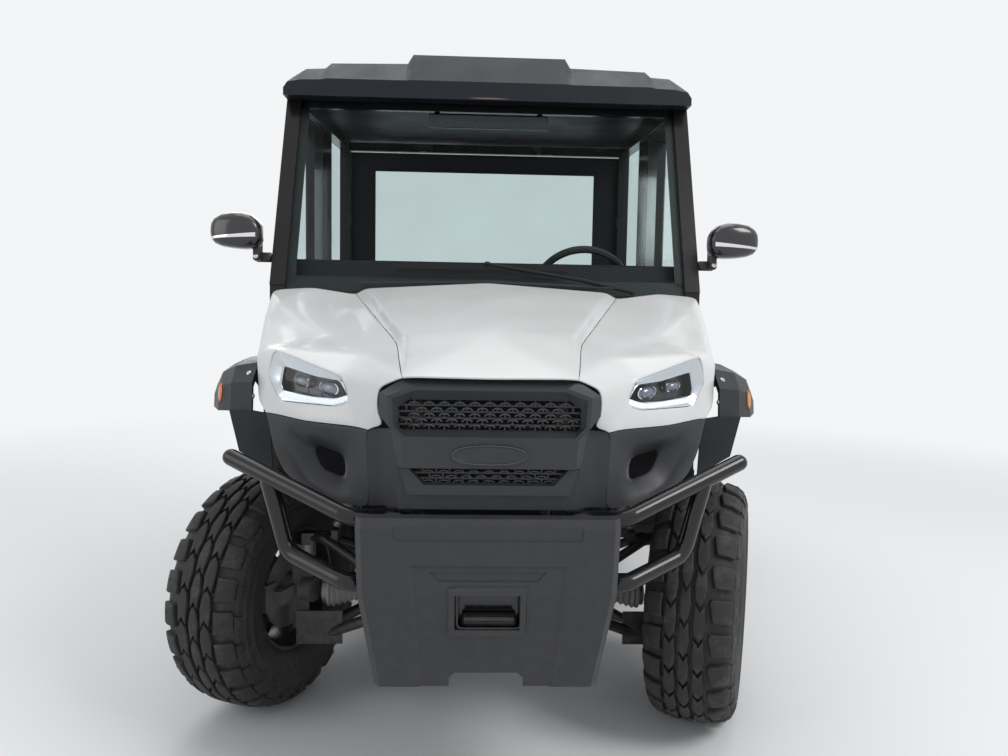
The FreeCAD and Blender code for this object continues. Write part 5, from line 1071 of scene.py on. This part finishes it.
# The windscreen's black border and the seal along the hood's rear edge
GLASS_FOOT, GLASS_TOP = Vector((0, -0.680, 1.225)), Vector((0, -0.420, 1.905))
SLOPE = (GLASS_TOP - GLASS_FOOT).normalized()
OUTWARD = Vector((0, -SLOPE.z, SLOPE.y))
border = Kit()


def on_glass(x, up, out):
    return GLASS_FOOT + SLOPE * up + OUTWARD * out + Vector((x, 0, 0))


BORDER_BANDS = (  # across and up the glass to a band's middle, half its width, half its height
    (0.650, 0.364, 0.015, 0.345), (-0.650, 0.364, 0.015, 0.345), (0, 0.012, 0.664, 0.026),
    (0, 0.706, 0.664, 0.020))
for x, up, half_x, half_up in BORDER_BANDS:
    border.block(on_glass(x, up, -0.0085), (half_x, 0, 0), SLOPE * half_up, OUTWARD * 0.0006, 0.05)
border.make("screen_border", "chassis", "rubber")


def hood_rear_up(x):
    """Height of the hood's rear edge, in millimetres."""
    return 1245 - 0.026 * abs(x) - max(0, abs(x) - 398) * 0.05


seal = Kit()
for back, lift in ((0.352, 0.0), (0.362, 0.004)):
    path = [(x / 1000, FRONT_AXLE + back, hood_rear_up(x) / 1000 + lift) for x in range(-420, 421, 20)]
    seal.tube(path, 0.0030, 8)
seal.make("hood_seal", "chassis", "rubber")


# Seats: soft cushions grown by a cloth simulation
SEAT_OUT = 0.33
CLOTH_FRAMES = 20
CLOTH_SETTINGS = {
    "use_pressure": True, "uniform_pressure_force": 4.0, "quality": 4, "mass": 0.3,
    "tension_stiffness": 12.0, "compression_stiffness": 12.0, "bending_stiffness": 0.4}
VOXEL = 0.0075
FARTHEST = 0.024  # how far the pressure may move a point


def evaluated(item):
    return bpy.data.meshes.new_from_object(item.evaluated_get(bpy.context.evaluated_depsgraph_get()))


def cushion(name, rows, node):
    """A stuffed cushion: a smooth hull, blown up by cloth pressure and held near its start."""
    hull = Kit()
    hull.loft(rows)
    item = bpy.data.objects.new(name, hull.mesh(name))
    bpy.context.scene.collection.objects.link(item)
    grid = item.modifiers.new("grid", "REMESH")
    grid.mode = "VOXEL"
    grid.voxel_size = VOXEL
    even = evaluated(item)
    item.modifiers.clear()
    item.data = even
    start = [v.co.copy() for v in even.vertices]
    puff = item.modifiers.new("puff", "CLOTH")
    for key, value in CLOTH_SETTINGS.items():
        setattr(puff.settings, key, value)
    puff.settings.effector_weights.gravity = 0.0
    puff.collision_settings.use_collision = False
    puff.point_cache.frame_start = 1
    puff.point_cache.frame_end = CLOTH_FRAMES
    for count in range(1, CLOTH_FRAMES + 1):
        bpy.context.scene.frame_set(count)
    blown = evaluated(item)
    item.modifiers.clear()
    item.data = blown
    for vert, place in zip(blown.vertices, start):
        shift = vert.co - place
        if shift.length > FARTHEST:
            vert.co = place + shift.normalized() * FARTHEST
    bpy.context.scene.frame_set(1)
    finer = item.modifiers.new("finer", "SUBSURF")
    finer.levels = finer.render_levels = 1
    item.data.materials.append(MAT["cloth"])
    item.data.shade_smooth()
    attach(item, "chassis")
    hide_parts(node)


def pad_rows(middle, wide, spots):
    """Rings along a cushion. Rows give facing, y, z, half the thickness and the share of the width."""
    rows = []
    for facing, y, z, thick, width in spots:
        ring = []
        for c, s in round_trip(28):
            across = wide / 2 * width * squared(c, 0.45)
            ring.append(Vector((middle + across, y, z)) + Vector(facing) * (thick * squared(s, 0.6)))
        rows.append(ring)
    return rows


FLAT, UPRIGHT = (0, 0, 1), (0, -0.985, 0.17)
CUSHION_ROWS = (
    (FLAT, 0.030, 0.738, 0.018, 0.90), (FLAT, 0.045, 0.738, 0.030, 0.96), (FLAT, 0.10, 0.736, 0.036, 1.0),
    (FLAT, 0.26, 0.728, 0.032, 1.0), (FLAT, 0.42, 0.724, 0.032, 1.0), (FLAT, 0.485, 0.724, 0.026, 0.97),
    (FLAT, 0.497, 0.724, 0.014, 0.92))
BACK_ROWS = (
    (UPRIGHT, 0.552, 0.800, 0.014, 0.92), (UPRIGHT, 0.554, 0.812, 0.024, 0.96),
    (UPRIGHT, 0.568, 0.92, 0.028, 1.0), (UPRIGHT, 0.592, 1.10, 0.030, 0.98),
    (UPRIGHT, 0.614, 1.26, 0.028, 0.90), (UPRIGHT, 0.622, 1.33, 0.022, 0.80),
    (UPRIGHT, 0.625, 1.345, 0.012, 0.72))
for label, sign in SIDES:
    cushion("seat_cushion_" + label, pad_rows(SEAT_OUT * sign, 0.455, CUSHION_ROWS), "seat_cushions")
    cushion("seat_back_" + label, pad_rows(SEAT_OUT * sign, 0.435, BACK_ROWS), "seat_backs")

# Shells under and behind the cushions
shells = Kit()
for sign in (1, -1):
    shells.block((SEAT_OUT * sign, 0.265, 0.692), (0.225, 0, 0), (0, 0.235, 0), (0, 0, 0.012), 0.4)
    shells.block((SEAT_OUT * sign, 0.610, 1.03), (0.205, 0, 0), (0, 0.052, 0.33), (0, 0.012, -0.0018),
                 0.4)
shells.make("seat_shells", "chassis", "trim")


# Doors: painted below the belt, black above it, with handles
def belt_line(name, source, height):
    """A copy of a finish that turns black above a height."""
    material = MAT[source].copy()
    material.name = name
    shader = Shader(material.node_tree)
    up = shader.add("SeparateXYZ", {0: shader.place()}).outputs[2]
    painted_over(material, BELT_BLACK, shader.span(up, height, height + 0.002))
    return material


MAT["door"] = belt_line("door_paint", "white", 1.215)
HANDLE_PATH = (  # out from the middle, back
    (0.7160, -0.105), (0.7300, -0.098), (0.7335, -0.080), (0.7335, -0.028), (0.7300, -0.012),
    (0.7160, -0.005))
HANDLE_UP = 1.118
for label, sign in SIDES:
    handle, recess = Kit(), Kit()
    recess.block((0.7152 * sign, -0.055, 1.115), (0, 0.062, 0), (0, 0, 0.026), (0.0012 * sign, 0, 0), 0.3)
    handle.tube([(out * sign, back, HANDLE_UP) for out, back in HANDLE_PATH], 0.0065, 12)
    recess.make("door_recess_" + label, "door_" + label, "trim")
    handle.make("door_handle_" + label, "door_" + label, "gloss_black")


# Details of the front
def cheek(label, sign):
    """The set-back panel that closes the space between a side fascia and the grille's surround."""
    outer = [(272, -474, 699), (274, -473, 760), (277, -471, 820), (280, -469, 874)]
    inner = [(197, -499, 702), (198, -499, 760), (199, -499, 820), (206, -499, 880)]
    loops = []
    for (x0, b0, z0), (x1, b1, z1) in zip(outer, inner):
        row = []
        for k in range(7):
            t = k / 6
            sink = 10 * math.sin(math.pi * t)
            x, back, z = (a + (b - a) * t for a, b in ((x0, x1), (b0, b1), (z0, z1)))
            row.append(Vector((sign * x / 1000, FRONT_AXLE + (back + sink) / 1000, z / 1000)))
        loops.append(row + [p + Vector((0, 0.004, 0)) for p in reversed(row)])
    plate = Kit()
    plate.loft(loops)
    plate.make("cheek_" + label, "chassis", "grey")


BUMPER_Y = FRONT_AXLE - 0.600 + 0.005
BUMPER_BEND_UP, BUMPER_LEAN = 0.533, 0.263
HITCH_X, HITCH_UP = 0.004, 0.497


def bumper_face(x, z, out):
    """A place on the bumper's sunk middle panel, which leans back below its bend."""
    return Vector((x, BUMPER_Y + max(0.0, BUMPER_BEND_UP - z) * BUMPER_LEAN - out, z))


def frame_path(centre_x, centre_z, half_x, half_z, corner, steps=6):
    """A rectangle with rounded corners, in the X-Z plane."""
    path = []
    for sx, sz, start in ((1, 1, 0), (-1, 1, 90), (-1, -1, 180), (1, -1, 270)):
        for k in range(steps + 1):
            a = math.radians(start + 90 * k / steps)
            path.append((centre_x + sx * (half_x - corner) + corner * math.cos(a),
                         centre_z + sz * (half_z - corner) + corner * math.sin(a)))
    return path


def ring_bar(kit, path, radius, sides=8):
    """A bar along a closed path in the X-Z plane of a face."""
    count = len(path)
    loops = []
    for k in range(count + 1):
        here = Vector(path[k % count])
        along = (Vector(path[(k + 1) % count]) - Vector(path[k - 1 if k else count - 1])).normalized()
        side = along.cross(Vector((0, -1, 0))).normalized()
        other = along.cross(side)
        loops.append([here + (side * c + other * s) * radius for c, s in round_trip(sides)])
    kit.loft(loops, False, False)


for label, sign in SIDES:
    cheek(label, sign)
lines = Kit()
for half_x, half_z, radius in ((0.082, 0.054, 0.0032), (0.070, 0.043, 0.0024)):
    path = frame_path(HITCH_X, HITCH_UP, half_x, half_z, 0.012)
    ring_bar(lines, [bumper_face(x, z, 0.001) for x, z in path], radius)
lines.make("hitch_frame", "chassis", "grey")
pocket = Kit()
pocket.slab((HITCH_X, -1.597, HITCH_UP), 0.086, 0.002, 0.060, 0.3)
pocket.make("hitch_back", "chassis", "housing")
step = Kit()
step.slab((HITCH_X, -1.612, 0.466), 0.060, 0.012, 0.012, 0.2)
step.tube([(-0.050, -1.630, 0.474), (0.058, -1.630, 0.474)], 0.007, 14)
step.make("hitch_step", "chassis", "steel")

# Arched bars over the grille's mesh, a plain oval badge and the line round it
ARCH = ((-0.0115, 0.002, -0.0035), (-0.0070, 0.0002, 0.0005), (0, 0, 0.0020), (0.0070, 0.0002, 0.0005),
        (0.0115, 0.002, -0.0035))
ARCH_Y = -1.5975
ARCH_PITCH = 0.0332
bars = Kit()


def add_arches(rows, lowest, rise, half_opening):
    """Staggered rows of arches, as far out as the opening's half width at their height."""
    for row in range(rows):
        z = lowest + rise * row
        for k in range(-6, 7):
            x = ARCH_PITCH * (k + (0.5 if row % 2 else 0.0))
            if abs(x) < half_opening(z):
                bars.tube([(x + dx, ARCH_Y + dy, z + dz) for dx, dy, dz in ARCH], 0.0019, 6)


add_arches(5, 0.8935, 0.0125, lambda z: 0.183 if z < 0.930 else 0.169)
add_arches(3, 0.7715, 0.0110, lambda z: 0.128 + (z - 0.765) * 0.85)
bars.make("grille_arches", "chassis", "dash_bar")
BADGE_UP = 0.8335
BADGE_LEVELS = ((1.0, -1.6195), (0.97, -1.6245), (0.90, -1.6250), (0.86, -1.6238), (0.4, -1.6252))
badge = Kit()
oval = [(0.080 * squared(c, 0.85), BADGE_UP + 0.0205 * squared(s, 0.85)) for c, s in round_trip(48)]
badge.loft([[Vector((x * share, y, BADGE_UP + (z - BADGE_UP) * share)) for x, z in oval]
            for share, y in BADGE_LEVELS])
badge.make("badge_plain", "chassis", "grey")
rim = Kit()
ring_bar(rim, [Vector((x, -1.6247, z)) for x, z in oval], 0.0016)
rim.make("badge_line", "chassis", "dash_bar")


# Fixings found by looking at the flares from the camera's place
def seen_on(node, target):
    """Where a line from the camera's place through the target first meets a CAD piece."""
    tree = BVHTree.FromPolygons([v.co for v in NODES[node].data.vertices],
                                [list(p.vertices) for p in NODES[node].data.polygons])
    place, normal = tree.ray_cast(EYE, (Vector(target) - EYE).normalized())[:2]
    if place is None:
        return None, None
    return place, normal if normal.dot(EYE - place) > 0 else -normal


SCREW = [(-0.001, 0.0068), (0.0015, 0.0068), (0.0032, 0.0048), (0.0036, 0.0004)]
SCREW_TARGETS = ((-0.6145, -1.270, 0.9777), (-0.6048, -1.270, 0.9185))
REFLECTOR_TARGET = (-0.7066, -1.210, 0.920)
screws, reflectors = Kit(), Kit()
for target in SCREW_TARGETS:
    place, normal = seen_on("front_flares", target)
    if place is not None:
        for sign in (1, -1):
            mirrored = Vector((sign, 1, 1))
            screws.turned(SCREW, place * mirrored, normal * mirrored, 20)
place, normal = seen_on("front_flares", REFLECTOR_TARGET)
if place is not None:
    for sign in (1, -1):
        out = normal * Vector((sign, 1, 1))
        up = (Vector((0, 0, 1)) - out * out.z).normalized()
        side = up.cross(out)
        spot = place * Vector((sign, 1, 1))
        diamond = ((0, 0.026), (0.009, 0.012), (0.009, -0.012), (0, -0.026), (-0.009, -0.012),
                   (-0.009, 0.012))
        reflectors.loft([[spot + side * a * share + up * b * share + out * lift for a, b in diamond]
                         for share, lift in ((1.0, -0.002), (1.0, 0.0015), (0.8, 0.003))])
screws.make("flare_screws", "chassis", "bolt")
reflectors.make("flare_reflectors", "chassis", "amber")

# Seal line under the roof's front edge
trim = Kit()
trim.tube([(x / 100, -0.4985 + 0.0002 * abs(x), 1.8925) for x in range(-69, 70, 3)], 0.0030, 8)
trim.make("roof_seal", "chassis", "seal")

# Lens ribs of the tail lamps, and the panels and latch of the tailgate
ribs, latch = Kit(), Kit()
for sign in (1, -1):
    for k in range(9):
        ribs.slab((sign * (0.345 + 0.0135 * k), 1.6568, 0.458), 0.0045, 0.0014, 0.022, 0.4)
ribs.make("tail_lens_ribs", body_of("tail_lamps"), "red")
for x in (-0.42, -0.14, 0.14, 0.42):
    latch.slab((x, 1.6597, 1.016), 0.105, 0.0002, 0.125, 0.3)
latch.slab((0, 1.6550, 1.145), 0.070, 0.0045, 0.020, 0.4)
latch.make("tailgate_panels", "tailgate", "trim")

# Rounded ends of the guard tubes, and the doors' inner panels
GUARD_END_RADIUS = 0.0196
GUARD_ENDS = ((0.609, -0.380, 0.790), (0.508, -0.426, 0.742))
ball = [(-GUARD_END_RADIUS * math.cos(math.pi * k / 16),
         max(0.0003, GUARD_END_RADIUS * math.sin(math.pi * k / 16))) for k in range(17)]
ends = Kit()
for label, sign in SIDES:
    for x, back, z in GUARD_ENDS:
        ends.turned(ball, (sign * x, FRONT_AXLE + back, z), (1, 0, 0), 28)
    inner = Kit()
    inner.block((0.6792 * sign, -0.290, 0.840), (0, 0.300, 0), (0, 0, 0.350), (0.0009 * sign, 0, 0), 0.3)
    inner.make("door_inner_" + label, "door_" + label, "trim")
ends.make("guard_tube_ends", "chassis", "gloss_black", angle=60.0)

# Folds and rims of the remaining mouldings, rounded.
FOLDS = {  # node: rounding of folds, of rims
    "bumper_cover": (0.012, 0.004), "grille_surround": (0.006, 0.004), "roof_panel": (0.010, 0.006),
    "front_flares": (0.006, 0.004), "rear_flares": (0.006, 0.004), "cab_frame": (0.005, 0.005),
    "cargo_bed": (0.006, 0.006), "tailgate": (0.005, 0.005), "dashboard": (0.012, 0.010),
    "interior_mirror": (0.004, 0.004), "suspension_arms": (0.003, 0.003), "frame": (0.004, 0.004),
    "bed_subframe": (0.003, 0.003), "floor_pan": (0.004, 0.004), "drive_units": (0.006, 0.006),
    "battery_pack": (0.006, 0.006), "steering_gear": (0.003, 0.003), "tie_rods": (0.002, 0.002),
}
PLAINER = ("suspension_arms", "drive_units")
for node, (fold, rim) in FOLDS.items():
    softened(node, fold, rim, 1 if node in PLAINER else 3)
for node in ("door_left", "door_right"):
    softened(node, 0.006, 0.004, material="door")

# The boxes of the CAD and of what is seen here
(low, high), (cad_low, cad_high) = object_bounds(), cad_box
